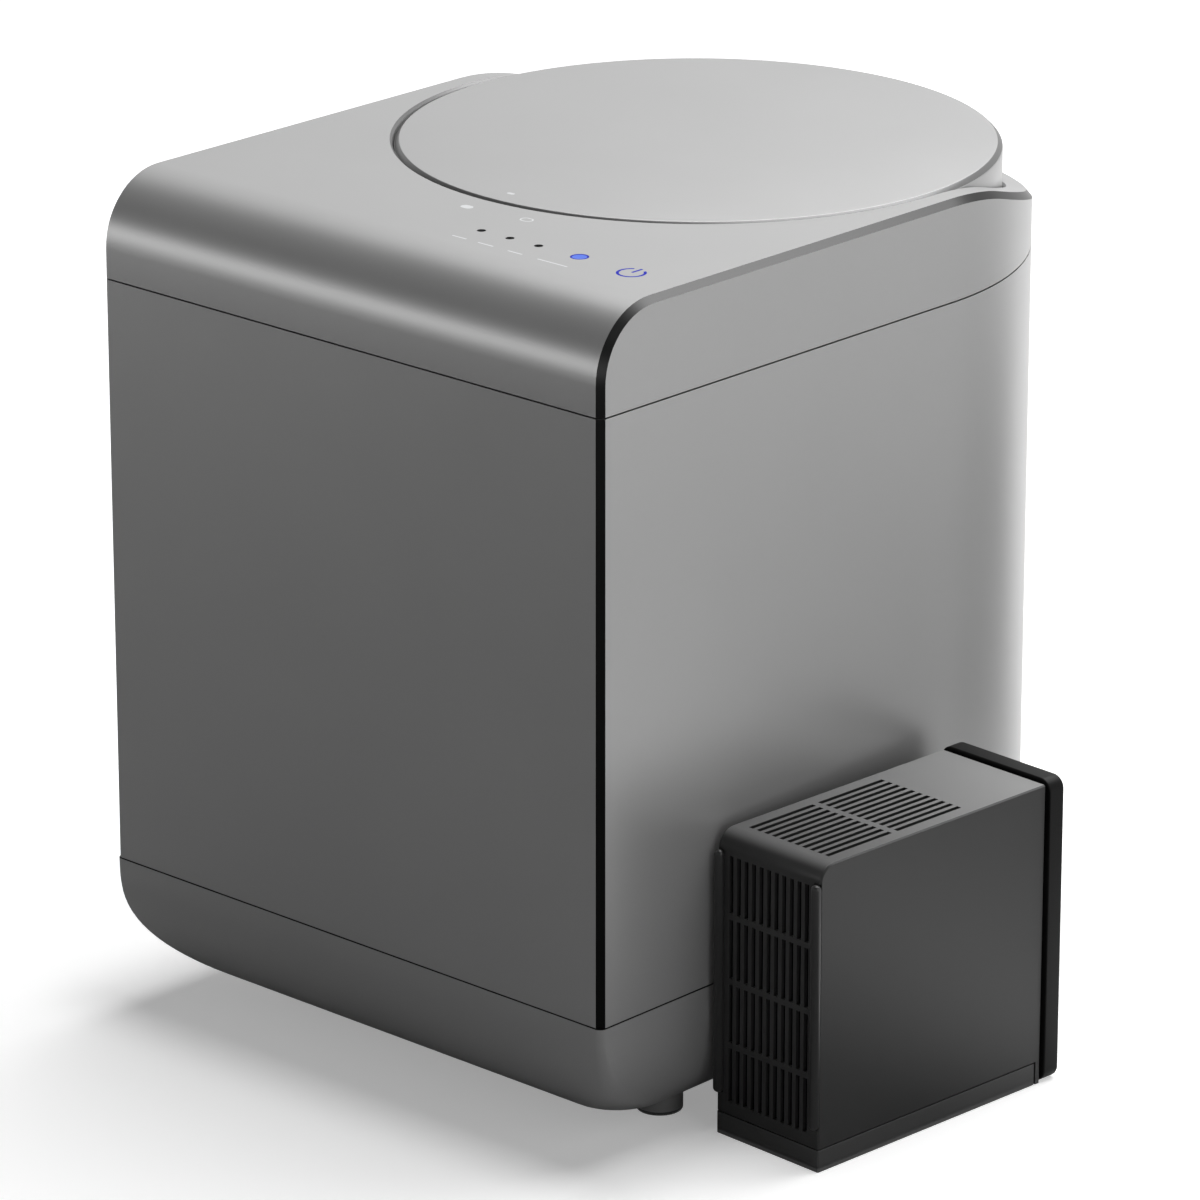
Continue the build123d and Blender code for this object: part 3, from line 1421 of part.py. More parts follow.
cartridge_parts.append(cartridge_tray.part)

# ---------------------------------------------------------------- cartridge flange
# Thick end plate, a little proud of the housing, with a grip recess and exhaust slots.
with BuildPart() as cartridge_flange:
    with BuildSketch(Plane.XZ.offset(-cart_len - flange_gap)):
        with Locations((0, cart_flange_h / 2)):
            RectangleRounded(cart_flange_w, cart_flange_h, flange_corner_r)
    extrude(amount=-(flange_t - flange_gap))
    fillet(cartridge_flange.edges().group_by(Axis.Y)[-1], flange_edge_r)
    fillet(cartridge_flange.edges().group_by(Axis.Y)[0], flange_edge_r / 2)
    with BuildSketch(Plane.XZ.offset(-cart_len)):
        with Locations((0, cart_h / 2)):
            Rectangle(cart_w - 4 * cart_seam, cart_h - 4 * cart_seam)
    extrude(amount=-2 * flange_gap)
    with BuildSketch(Plane.XZ.offset(-cart_len - flange_t)):
        with Locations((0, grip_z)):
            SlotOverall(grip_w, grip_h)
    extrude(amount=grip_depth, mode=Mode.SUBTRACT)
    with BuildSketch(Plane.XZ.offset(-cart_len)):
        with Locations(*[(0, outlet_z + (row - 4) * exhaust_pitch) for row in range(9)]):
            SlotOverall(exhaust_w, slot_w)
    extrude(amount=-flange_t, mode=Mode.SUBTRACT)
cartridge_flange.part.label = "cartridge_flange"
cartridge_parts.append(cartridge_flange.part)

# ---------------------------------------------------------------- guide rods
for label, spot in zip(("guide_rod_left", "guide_rod_right"), rod_spots):
    with BuildPart() as rod:
        with BuildSketch(Plane.XY.offset(rod_low_z)):
            with Locations(spot):
                Circle(rod_r)
        extrude(amount=rod_high_z - rod_low_z)
        fillet(rod.edges().filter_by(GeomType.CIRCLE), rod_r - 0.2)
    rod.part.label = label
    cartridge_parts.append(rod.part)

# ---------------------------------------------------------------- filter media
# A pleated dust filter behind the grille and a block of carbon behind it.
media_w = cart_w - 4 * cart_wall - 2 * fit_gap
media_low_z = cart_wall
media_high_z = cart_h - cart_wall - fit_gap

with BuildPart() as dust_filter:
    with BuildSketch(Plane.XY.offset(media_low_z)):
        with BuildLine():
            folds = [
                (
                    -media_w / 2 + pleat_t + fold * (media_w - 2 * pleat_t) / pleats,
                    cart_wall * 2 + fit_gap + pleat_t + (pleat_depth if fold % 2 else 0),
                )
                for fold in range(pleats + 1)
            ]
            Polyline(*folds)
            offset(amount=pleat_t / 2)
        make_face()
    extrude(amount=media_high_z - cart_front_r - media_low_z)
dust_filter.part.label = "dust_filter"
cartridge_parts.append(dust_filter.part)

with BuildPart() as carbon_block:
    with BuildSketch(Plane.XY.offset(media_low_z)):
        carbon_y = cart_wall * 2 + pleat_depth + 3 * pleat_t
        carbon_end = cart_len - collar_len - 3 * cart_wall
        with Locations((0, (carbon_y + carbon_end) / 2)):
            RectangleRounded(media_w, carbon_end - carbon_y, 2)
    extrude(amount=media_high_z - media_low_z)
carbon_block.part.label = "carbon_block"
cartridge_parts.append(carbon_block.part)

# ---------------------------------------------------------------- placing and writing
stand = Location((cart_x, cart_y, 0), (0, 0, cart_turn))
standing_parts = [(piece, stand) for piece in cartridge_parts]
standing_parts += [(piece, Location()) for piece in machine_parts]
span = Compound(children=[piece.moved(place) for piece, place in standing_parts]).bounding_box()
shift = Location((-span.center().X, -span.center().Y, -span.min.Z))

for piece, place in standing_parts:
    label = piece.label
    export_step(piece.moved(shift * place), f"parts/{label}.step")
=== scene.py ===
import bmesh
import bpy
from math import radians
from mathutils import Euler, Matrix, Vector


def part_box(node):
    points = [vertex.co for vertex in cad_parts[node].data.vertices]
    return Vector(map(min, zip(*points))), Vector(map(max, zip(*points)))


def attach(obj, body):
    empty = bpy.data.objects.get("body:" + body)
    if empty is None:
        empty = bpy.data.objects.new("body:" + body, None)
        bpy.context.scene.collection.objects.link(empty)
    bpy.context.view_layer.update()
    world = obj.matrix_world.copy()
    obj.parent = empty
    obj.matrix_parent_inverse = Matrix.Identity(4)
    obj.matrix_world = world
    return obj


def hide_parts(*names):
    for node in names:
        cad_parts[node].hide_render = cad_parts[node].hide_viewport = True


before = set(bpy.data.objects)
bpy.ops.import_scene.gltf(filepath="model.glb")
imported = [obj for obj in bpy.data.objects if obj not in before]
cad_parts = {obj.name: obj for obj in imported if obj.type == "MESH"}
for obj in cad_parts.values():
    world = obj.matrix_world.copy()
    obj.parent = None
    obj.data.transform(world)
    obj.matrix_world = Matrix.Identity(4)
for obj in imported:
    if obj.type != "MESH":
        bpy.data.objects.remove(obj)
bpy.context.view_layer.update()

# ------------------------------------------------------------------ feet
# Four black rubber pads, 23 mm across and 2 mm thick, moulded with a rolled lower edge and
# stuck under the bosses of the base.
MM = 0.001
CLOUD_SIZE, CLOUD_SHARE = 60, 0.4


def finish(name, dark, light, shine, grain, relief=0.0, stretch=(1, 1, 1), **sockets):
    """Finish whose tone and roughness wander between two values, by a fine grain of a size in
    mm and by broad clouds. The grain may stand up by a relief in mm."""
    made = bpy.data.materials.new(name)
    made.use_nodes = True
    tree = made.node_tree
    shader = tree.nodes["Principled BSDF"]
    for socket, value in sockets.items():
        shader.inputs[socket.replace("_", " ")].default_value = value
    place = tree.nodes.new("ShaderNodeTexCoord")
    run = tree.nodes.new("ShaderNodeMapping")
    run.inputs["Scale"].default_value = stretch
    tree.links.new(place.outputs["Object"], run.inputs["Vector"])
    fine = tree.nodes.new("ShaderNodeTexNoise")
    fine.inputs["Scale"].default_value = 1 / (grain * MM)
    fine.inputs["Detail"].default_value = 3
    tree.links.new(run.outputs[0], fine.inputs["Vector"])
    broad = tree.nodes.new("ShaderNodeTexNoise")
    broad.inputs["Scale"].default_value = 1 / (CLOUD_SIZE * MM)
    broad.inputs["Detail"].default_value = 2
    tree.links.new(place.outputs["Object"], broad.inputs["Vector"])
    share = tree.nodes.new("ShaderNodeMix")
    share.inputs["Factor"].default_value = CLOUD_SHARE
    tree.links.new(fine.outputs["Fac"], share.inputs["A"])
    tree.links.new(broad.outputs["Fac"], share.inputs["B"])
    tint = tree.nodes.new("ShaderNodeMix")
    tint.data_type = "RGBA"
    for socket, tone in (("A", dark), ("B", light)):
        rgb = tone if isinstance(tone, tuple) else (tone, tone, tone)
        tint.inputs[socket].default_value = (*rgb, 1)
    tree.links.new(share.outputs["Result"], tint.inputs["Factor"])
    tree.links.new(tint.outputs["Result"], shader.inputs["Base Color"])
    spread = tree.nodes.new("ShaderNodeMapRange")
    spread.inputs["To Min"].default_value, spread.inputs["To Max"].default_value = shine
    tree.links.new(share.outputs["Result"], spread.inputs["Value"])
    tree.links.new(spread.outputs[0], shader.inputs["Roughness"])
    if relief:
        bump = tree.nodes.new("ShaderNodeBump")
        bump.inputs["Distance"].default_value = relief * MM
        tree.links.new(fine.outputs["Fac"], bump.inputs["Height"])
        tree.links.new(bump.outputs[0], shader.inputs["Normal"])
    return made


def piece(name, shape, body, nodes, finishes, soft=0.0, crease=28):
    """Object from a bmesh, smooth but for its creases, whose edges may be softened by some mm."""
    for edge in shape.edges:
        edge.smooth = edge.is_manifold and edge.calc_face_angle(0) < radians(crease)
    for face in shape.faces:
        face.smooth = True
    mesh = bpy.data.meshes.new(name)
    shape.to_mesh(mesh)
    shape.free()
    for each in finishes:
        mesh.materials.append(each)
    made = bpy.data.objects.new(name, mesh)
    bpy.context.scene.collection.objects.link(made)
    if soft:
        edges = made.modifiers.new("soft_edges", "BEVEL")
        edges.width = soft * MM
        edges.segments = 2
        edges.limit_method = "ANGLE"
        edges.angle_limit = radians(crease)
        edges.harden_normals = True
        edges.material = -1
    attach(made, body)
    if nodes:
        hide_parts(*nodes)
    return made


def turned(profile, centre, steps):
    """Solid of revolution about an upright axis; the profile is in mm, outwards and up."""
    shape = bmesh.new()
    chain = [shape.verts.new(centre + Vector((out, 0, up)) * MM) for out, up in profile]
    rim = [shape.edges.new(pair) for pair in zip(chain, chain[1:])]
    bmesh.ops.spin(
        shape, geom=chain + rim, cent=centre, axis=(0, 0, 1), angle=radians(360), steps=steps,
        use_merge=True,
    )
    bmesh.ops.remove_doubles(shape, verts=shape.verts, dist=0.001 * MM)
    bmesh.ops.recalc_face_normals(shape, faces=shape.faces)
    return shape


FOOT_R, FOOT_T = 11.5, 2
foot_rubber = finish("foot_rubber", 0.018, 0.028, (0.55, 0.75), 0.5, 0.02)
for corner in ("front_left", "front_right", "rear_left", "rear_right"):
    low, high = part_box("foot_" + corner)
    foot_mid = Vector(((low.x + high.x) / 2, (low.y + high.y) / 2, 0))
    pad = turned(
        [(0, 0.3), (FOOT_R - 2.9, 0.3), (FOOT_R - 2.5, 0), (FOOT_R - 1, 0), (FOOT_R - 0.4, 0.2),
         (FOOT_R - 0.1, 0.6), (FOOT_R, 1.1), (FOOT_R, FOOT_T), (0, FOOT_T)],
        foot_mid, 48,
    )
    piece("rubber_pad_" + corner, pad, "machine", ["foot_" + corner], [foot_rubber])


# ------------------------------------------------------------------ base shell
# Moulded tub that draws in towards the underside, sprayed in satin silver lacquer. Its bare
# black rim enters the sleeve and leaves an open seam under it.
def solid_of(node):
    """Copy of a solid from the frame with its loose triangles joined into faces."""
    shape = bmesh.new()
    shape.from_mesh(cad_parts[node].data)
    bmesh.ops.remove_doubles(shape, verts=shape.verts, dist=0.002 * MM)
    bmesh.ops.dissolve_limit(
        shape, angle_limit=radians(0.3), verts=shape.verts, edges=shape.edges
    )
    return shape


def silver_lacquer(name):
    """Satin paint with fine metal flake, sprayed on the outside."""
    return finish(name, 0.41, 0.45, (0.33, 0.38), 0.35, 0.0008, Metallic=0.5)


shell_lacquer = silver_lacquer("silver_lacquer")
bare_rim = finish("bare_rim", 0.008, 0.014, (0.5, 0.65), 0.6, Specular_IOR_Level=0.2)
SEAM_REACH = 1.2 * MM
sleeve_low, sleeve_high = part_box("body_sleeve")
lower = solid_of("base_shell")
for face in lower.faces:
    if face.calc_center_median().z > sleeve_low.z - SEAM_REACH:
        face.material_index = 1
piece("lower_shell", lower, "machine", ["base_shell"],
      [shell_lacquer, bare_rim], 0.3)


# ------------------------------------------------------------------ power board and drive plates
# Glass-fibre board on posts in the base, and two sheets of bent galvanised steel beside it
# that stand on pads and carry the tank.
def coat(made, *nodes):
    """Puts a finish on solids of the frame that keep their own shape."""
    for node in nodes:
        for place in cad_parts[node].material_slots:
            place.material = made


board_lacquer = finish(
    "board_lacquer", (0.010, 0.07, 0.025), (0.02, 0.13, 0.045), (0.28, 0.4), 1.6
)
zinc_sheet = finish("zinc_sheet", 0.40, 0.55, (0.3, 0.5), 4.0, 0.002, Metallic=1.0)
coat(board_lacquer, "power_board")
coat(zinc_sheet, "tank_cradle", "drive_plate", "tank_screws", "motor_screws")

# ------------------------------------------------------------------ tank
# Trough of drawn stainless steel, left satin inside, with a heating mat of orange film bonded
# under it and white low-friction bushes in its two bores.
tank_steel = finish(
    "tank_steel", 0.48, 0.56, (0.28, 0.42), 0.6, 0.001, (1, 0.08, 1), Metallic=1.0
)
heater_film = finish(
    "heater_film", (0.50, 0.15, 0.02), (0.66, 0.24, 0.05), (0.25, 0.4), 2.5, 0.01
)
bush_white = finish("bush_white", 0.60, 0.68, (0.4, 0.5), 0.6)
piece("tank", solid_of("compost_tank"), "machine", ["compost_tank"],
      [tank_steel], 0.3)
coat(heater_film, "heater_pad")
coat(bush_white, "shaft_bush_left", "shaft_bush_right")

# ------------------------------------------------------------------ mixer
# Ground stainless shaft across the tank with six cast paddles, their edges rounded so that
# scraps slide off.
mixer_steel = finish(
    "mixer_steel", 0.46, 0.58, (0.22, 0.36), 0.5, 0.001, (0.1, 1, 1), Metallic=1.0
)
piece("shaft", solid_of("mixing_shaft"), "mixer", ["mixing_shaft"],
      [mixer_steel], 0.2)
for count in range(1, 7):
    node = f"mixing_paddle_{count}"
    piece(f"paddle_{count}", solid_of(node), "mixer", [node], [mixer_steel], 0.8)

# ------------------------------------------------------------------ gear train and motor
# White acetal gears on a steel axle, driven by a steel pinion on the gear motor's shaft. The
# lid's hinge pin is of the same ground steel.
acetal = finish("gear_acetal", 0.60, 0.68, (0.32, 0.45), 0.8, 0.004)
ground_steel = finish(
    "ground_steel", 0.50, 0.62, (0.16, 0.28), 0.6, 0.0, (0.1, 1, 1), Metallic=1.0
)
motor_steel = finish("motor_steel", 0.28, 0.36, (0.3, 0.42), 0.8, 0.002, Metallic=1.0)
coat(acetal, "driven_gear", "idler_gear")
coat(ground_steel, "idler_axle", "motor_pinion", "hinge_pin")
coat(motor_steel, "gear_motor")

# ------------------------------------------------------------------ filter bay, fan and duct
# Black moulded channel that takes the cartridge from the back, with the fan and its duct on
# top. The appliance socket beside it is moulded in the same plastic.
inner_plastic = finish("inner_plastic", 0.018, 0.028, (0.42, 0.55), 0.6, 0.01)
coat(inner_plastic, "filter_bay", "fan_housing", "fan_rotor", "air_duct", "power_inlet")

# ------------------------------------------------------------------ mains inlet
# Three flat brass pins, 2 by 4 mm, that stand at the bottom of the appliance socket and take
# a loose mains lead.
pin_brass = finish(
    "pin_brass", (0.58, 0.42, 0.18), (0.68, 0.52, 0.25), (0.2, 0.3), 0.6, Metallic=1.0
)
coat(pin_brass, "inlet_pins")

# ------------------------------------------------------------------ body sleeve
# Bent aluminium sheet from seam to seam, silver lacquered; its two upright front edges are
# milled to a dark polished facet.
HALF_W = 165 * MM
SIDE_DEPTH = 249 * MM
FACET = 3.2 * MM
SOFT_EDGE = 0.45
machine_foot = Vector(((sleeve_low.x + sleeve_high.x) / 2, sleeve_low.y, 0))
back_axis_foot = machine_foot + Vector((0, SIDE_DEPTH, 0))


def face_outwards(face):
    """Distance of a face from the body's upright middle plane or back axis, and how far its
    normal points that way."""
    spot = face.calc_center_median() - machine_foot
    away = Vector((spot.x, max(0.0, spot.y - SIDE_DEPTH), 0))
    return away.length, face.normal.dot(away.normalized())


polished = finish("polished_facet", 0.052, 0.064, (0.26, 0.32), 0.8, Metallic=1.0)
sleeve = solid_of("body_sleeve")
for face in sleeve.faces:
    if face.normal.y < -0.5 and 0.5 < abs(face.normal.x) < 0.85:
        face.material_index = 1
piece("sleeve", sleeve, "machine", ["body_sleeve"],
      [shell_lacquer, polished], SOFT_EDGE)


# ------------------------------------------------------------------ top cover
# Moulded cap in the same lacquer, with the facet carried on between its top and its sides and
# a turned edge round the lid's well, made darker as painted shade. The signs are printed as
# plain dots, rings and bars.
def distance_outside(tree, centre, half):
    """Distance on plan from an upright box, given by its centre and its half sizes."""
    last = tree.nodes.new("ShaderNodeTexCoord").outputs["Object"]
    for work, value in (
        ("SUBTRACT", centre),
        ("ABSOLUTE", None),
        ("SUBTRACT", half),
        ("MAXIMUM", Vector((0, 0, 0))),
        ("MULTIPLY", Vector((1, 1, 0))),
        ("LENGTH", None),
    ):
        step = tree.nodes.new("ShaderNodeVectorMath")
        step.operation = work
        tree.links.new(last, step.inputs[0])
        if value is not None:
            step.inputs[1].default_value = value
        last = step.outputs["Value" if work == "LENGTH" else "Vector"]
    return last


def worked(tree, operation, *given):
    """Maths node whose inputs are sockets or plain numbers."""
    made = tree.nodes.new("ShaderNodeMath")
    made.operation = operation
    for socket, value in zip(made.inputs, given):
        if isinstance(value, (int, float)):
            socket.default_value = value
        else:
            tree.links.new(value, socket)
    return made.outputs[0]


INK = (0.68, 0.69, 0.70, 1)


def with_ink(made, marks):
    """Adds printed marks to a finish: each is a place on the machine, a half length, a half
    width and, for a ring, the width of its line, in mm."""
    tree = made.node_tree
    shader = tree.nodes["Principled BSDF"]
    inked = 0.0
    for x, y, half_len, half_w, line in marks:
        reach = distance_outside(
            tree, machine_foot + Vector((x, y, 0)) * MM, Vector((half_len - half_w, 0, 0)) * MM
        )
        middle, half_line = (half_w - line / 2, line / 2) if line else (0, half_w)
        off = worked(tree, "ABSOLUTE", worked(tree, "SUBTRACT", reach, middle * MM))
        inked = worked(tree, "MAXIMUM", inked, worked(tree, "LESS_THAN", off, half_line * MM))
    under = shader.inputs["Base Color"].links[0].from_socket
    over = tree.nodes.new("ShaderNodeMix")
    over.data_type = "RGBA"
    over.inputs["B"].default_value = INK
    tree.links.new(inked, over.inputs["Factor"])
    tree.links.new(under, over.inputs["A"])
    tree.links.new(over.outputs["Result"], shader.inputs["Base Color"])
    return made


cover_lacquer = with_ink(
    silver_lacquer("cover_lacquer"),
    [
        (1.3, 83.0, 3.4, 2.4, 0),
        (37.2, 86.5, 3.6, 2.8, 0.8),
        (33.8, 44.0, 4.7, 0.5, 0),
        (51.0, 43.8, 5.0, 0.5, 0),
        (70.2, 43.5, 4.7, 0.5, 0),
        (94.4, 43.2, 9.5, 0.5, 0),
    ],
)
WELL_IN, WELL_OUT = 150.3 * MM, 152.2 * MM
# Darker finish on the bevels round the well and the lid: painted shade of the gap between them.
shaded_bevel = finish("shaded_bevel", 0.14, 0.18, (0.28, 0.34), 0.8, Metallic=0.5)
cover = solid_of("top_cover")
for face in cover.faces:
    out, tilt = face_outwards(face)
    spot = face.calc_center_median()
    from_axis = (spot - back_axis_foot).xy.length
    if HALF_W - FACET < out < HALF_W - 0.01 * MM and 0.3 < tilt < 0.95:
        face.material_index = 1
    elif WELL_IN < from_axis < WELL_OUT and 0.3 < face.normal.z < 0.95:
        face.material_index = 2
    elif spot.z < sleeve_high.z + SEAM_REACH:
        face.material_index = 3
piece("cover", cover, "machine", ["top_cover"],
      [cover_lacquer, polished, shaded_bevel, bare_rim], SOFT_EDGE)

# ------------------------------------------------------------------ lights and power mark
# Three smoked windows and one lit blue lens end flush with the top on clear light guides; the
# power mark is a lit inlay.
smoked = finish("smoked_window", 0.002, 0.004, (0.4, 0.5), 0.5, Specular_IOR_Level=0.02)
lit_blue = finish(
    "lit_blue", (0.03, 0.08, 0.40), (0.04, 0.10, 0.48), (0.3, 0.4), 0.5,
    Emission_Color=(0.12, 0.24, 1.0, 1), Emission_Strength=0.28, Specular_IOR_Level=0.2,
)
lit_rim = finish(
    "lit_rim", (0.004, 0.008, 0.24), (0.006, 0.012, 0.30), (0.4, 0.5), 0.5,
    Emission_Color=(0.01, 0.02, 1.0, 1), Emission_Strength=0.14, Specular_IOR_Level=0.05,
)
LENS_DISH, LENS_EDGE, LENS_RIM = 0.18, 0.15, 0.72


def lens_on(node):
    """Round guide with a softened edge and a shallow dish in its top."""
    low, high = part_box(node)
    lens_mid = Vector(((low.x + high.x) / 2, (low.y + high.y) / 2, low.z))
    lens_r, lens_h = (high.x - low.x) / 2 / MM, (high.z - low.z) / MM
    lens = turned(
        [(0, 0), (lens_r, 0), (lens_r, lens_h - LENS_EDGE), (lens_r - LENS_EDGE, lens_h),
         (lens_r * 0.8, lens_h - LENS_DISH * 0.4), (lens_r * 0.45, lens_h - LENS_DISH * 0.85),
         (0, lens_h - LENS_DISH)],
        lens_mid, 40,
    )
    for face in lens.faces:
        if (face.calc_center_median() - lens_mid).xy.length > lens_r * LENS_RIM * MM:
            face.material_index = 1
    return lens


for count in range(1, 4):
    node = f"status_window_{count}"
    piece(f"window_{count}", lens_on(node), "machine", [node], [smoked, smoked])
piece("light_guide_blue", lens_on("status_light"), "machine", ["status_light"],
      [lit_blue, lit_rim])
piece("power_inlay", solid_of("power_icon"), "machine", ["power_icon"], [lit_rim])
coat(board_lacquer, "control_board")

# ------------------------------------------------------------------ deck and feed chute
# Grey moulded deck that closes the tank, and the turned ring that guides scraps into it.
liner_plastic = finish("liner_plastic", 0.30, 0.36, (0.38, 0.5), 0.6, 0.01)
coat(liner_plastic, "tank_deck")
chute_low, chute_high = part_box("feed_chute")
CHUTE_TOP, CHUTE_FOOT = chute_high.z / MM, chute_low.z / MM
CHUTE_IN, CHUTE_OUT, CHUTE_LIP, LIP_T = 112, 114.5, 123.5, 2
chute = turned(
    [(CHUTE_IN + 0.6, CHUTE_TOP), (CHUTE_LIP - 0.7, CHUTE_TOP),
     (CHUTE_LIP - 0.2, CHUTE_TOP - 0.2), (CHUTE_LIP, CHUTE_TOP - 0.7),
     (CHUTE_LIP, CHUTE_TOP - LIP_T), (CHUTE_OUT, CHUTE_TOP - LIP_T),
     (CHUTE_OUT, CHUTE_FOOT + 0.6), (CHUTE_OUT - 0.3, CHUTE_FOOT),
     (CHUTE_IN + 0.4, CHUTE_FOOT), (CHUTE_IN, CHUTE_FOOT + 0.6),
     (CHUTE_IN, CHUTE_TOP - 0.8), (CHUTE_IN + 0.2, CHUTE_TOP - 0.3),
     (CHUTE_IN + 0.6, CHUTE_TOP)],
    back_axis_foot, 192,
)
piece("chute_ring", chute, "machine", ["feed_chute"], [liner_plastic])

# ------------------------------------------------------------------ lid
# Flush round lid, moulded and lacquered, with a turned bevel round its rim, darker as painted
# shade. The hinge barrel at its back turns on the steel pin.
LID_R, LID_TOP, LID_SKIRT, LID_WALL, LID_BEVEL = 150.0, 429.0, 388.5, 2.6, 2.4
BEVEL_R = LID_R - LID_BEVEL
lid_lacquer = with_ink(silver_lacquer("lid_lacquer"), [(1.2, 113.6, 2.2, 1.2, 0)])
lid_rim = turned(
    [(0, LID_TOP), (BEVEL_R - 0.5, LID_TOP), (BEVEL_R - 0.15, LID_TOP - 0.05),
     (BEVEL_R + 0.2, LID_TOP - 0.3), (LID_R - 0.25, LID_TOP - LID_BEVEL + 0.2),
     (LID_R - 0.05, LID_TOP - LID_BEVEL - 0.2), (LID_R, LID_TOP - LID_BEVEL - 0.6),
     (LID_R, LID_SKIRT + 0.4), (LID_R - 0.4, LID_SKIRT), (LID_R - LID_WALL + 0.4, LID_SKIRT),
     (LID_R - LID_WALL, LID_SKIRT + 0.4), (LID_R - LID_WALL, LID_TOP - LID_WALL),
     (0, LID_TOP - LID_WALL)],
    back_axis_foot, 288,
)
# The bevel takes the darker finish, a painted shade.
for face in lid_rim.faces:
    bevel_out = (face.calc_center_median() - back_axis_foot).xy.length / MM
    if BEVEL_R < bevel_out < LID_R and 0.5 < face.normal.z < 0.9:
        face.material_index = 1
piece("lid_skin", lid_rim, "lid", ["lid_shell"], [lid_lacquer, shaded_bevel], 0, 60)

HINGE_Y, HINGE_Z = 402.5, 401.0
BARREL_HALF, BARREL_R, BORE_R, BARREL_ROOT = 29.0, 5.5, 2.05, 11.0
barrel = bmesh.new()
for ring_r in (BARREL_R, BORE_R):
    bmesh.ops.create_circle(
        barrel, segments=48, radius=ring_r * MM, matrix=Matrix.Rotation(radians(90), 4, "Y")
    )
for vert in barrel.verts:
    if vert.co.length > (BARREL_R + BORE_R) / 2 * MM and vert.co.y < -0.01 * MM:
        vert.co.y = -BARREL_ROOT * MM
bmesh.ops.bridge_loops(barrel, edges=barrel.edges)
pulled = bmesh.ops.extrude_face_region(barrel, geom=barrel.faces)["geom"]
bmesh.ops.translate(
    barrel, vec=(2 * BARREL_HALF * MM, 0, 0),
    verts=[each for each in pulled if isinstance(each, bmesh.types.BMVert)],
)
bmesh.ops.translate(
    barrel, vec=machine_foot + Vector((-BARREL_HALF, HINGE_Y, HINGE_Z)) * MM, verts=barrel.verts
)
bmesh.ops.recalc_face_normals(barrel, faces=barrel.faces)
piece("lid_barrel", barrel, "lid", [], [lid_lacquer], 0.4)

# ------------------------------------------------------------------ lid pan and gasket
# Grey moulded pan inside the lid, and the soft ring under it that closes on the ledge round
# the feed opening.
piece("lid_pan", solid_of("lid_liner"), "lid", ["lid_liner"], [liner_plastic], 0.5)
seal_rubber = finish("seal_rubber", 0.10, 0.14, (0.5, 0.65), 0.5, 0.01)
SEAL_R, SEAL_HALF, SEAL_TOP, SEAL_FOOT = 131, 3, 390, 384.3
seal_side = [
    (SEAL_HALF, SEAL_TOP), (SEAL_HALF, SEAL_TOP - 1.8), (SEAL_HALF - 0.6, SEAL_TOP - 2.8),
    (1.3, SEAL_FOOT + 0.4), (0.7, SEAL_FOOT),
]
seal = turned(
    [(SEAL_R - SEAL_HALF, SEAL_TOP)] + [(SEAL_R + out, up) for out, up in seal_side]
    + [(SEAL_R - out, up) for out, up in reversed(seal_side)],
    back_axis_foot, 192,
)
piece("lid_gasket", seal, "lid", ["lid_seal"], [seal_rubber])

# ------------------------------------------------------------------ cartridge housing
# Dark grey shell of the filter cartridge, open below, with slots in its front and top. Its
# upward faces are painted lighter towards the end plate: a painted highlight of the lit top.
cartridge_plastic = finish(
    "cartridge_plastic", 0.036, 0.044, (0.30, 0.38), 0.6, 0.004, Specular_IOR_Level=0.3
)


def ramped(tree, given, start, stop, low=0.0, high=1.0, smooth=True):
    """Value that goes from low to high while the given one goes from start to stop."""
    made = tree.nodes.new("ShaderNodeMapRange")
    made.interpolation_type = "SMOOTHSTEP" if smooth else "LINEAR"
    for socket, value in (
        ("From Min", start), ("From Max", stop), ("To Min", low), ("To Max", high),
    ):
        made.inputs[socket].default_value = value
    tree.links.new(given, made.inputs["Value"])
    return made.outputs[0]


# Pale tone painted on upward faces, lighter towards the end plate: a painted highlight of the lit
# top.
TOP_HIGHLIGHT_TONE = 0.31
tree = cartridge_plastic.node_tree
shader = tree.nodes["Principled BSDF"]
under = shader.inputs["Base Color"].links[0].from_socket
facing = tree.nodes.new("ShaderNodeNewGeometry")
upward = tree.nodes.new("ShaderNodeSeparateXYZ")
tree.links.new(facing.outputs["Normal"], upward.inputs[0])
along = tree.nodes.new("ShaderNodeSeparateXYZ")
tree.links.new(tree.nodes["Texture Coordinate"].outputs["Object"], along.inputs[0])
housing_low, housing_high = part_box("cartridge_housing")
facing_up = ramped(tree, upward.outputs["Z"], 0.6, 1.0)
rearward = ramped(tree, along.outputs["Y"], housing_low.y, housing_high.y, 0.3, smooth=False)
painted_top_highlight = tree.nodes.new("ShaderNodeMix")
painted_top_highlight.data_type = "RGBA"
painted_top_highlight.inputs["B"].default_value = (TOP_HIGHLIGHT_TONE, TOP_HIGHLIGHT_TONE, TOP_HIGHLIGHT_TONE, 1)
tree.links.new(worked(tree, "MULTIPLY", facing_up, rearward), painted_top_highlight.inputs["Factor"])
tree.links.new(under, painted_top_highlight.inputs["A"])
tree.links.new(painted_top_highlight.outputs["Result"], shader.inputs["Base Color"])
piece("housing", solid_of("cartridge_housing"), "cartridge",
      ["cartridge_housing"], [cartridge_plastic], 0.3)

# ------------------------------------------------------------------ tray and end plate
# Shallow moulded tray that closes the shell from below, and the thicker black end plate with
# its grip, which fills the bay's mouth.
tray_plastic = finish(
    "tray_plastic", 0.058, 0.068, (0.34, 0.44), 0.6, 0.004, Specular_IOR_Level=0.25
)
plate_plastic = finish(
    "plate_plastic", 0.005, 0.008, (0.34, 0.44), 0.6, 0.004, Specular_IOR_Level=0.12
)
piece("tray", solid_of("cartridge_tray"), "cartridge", ["cartridge_tray"],
      [tray_plastic], 0.3)
piece("end_plate", solid_of("cartridge_flange"), "cartridge",
      ["cartridge_flange"], [plate_plastic], 0.3)

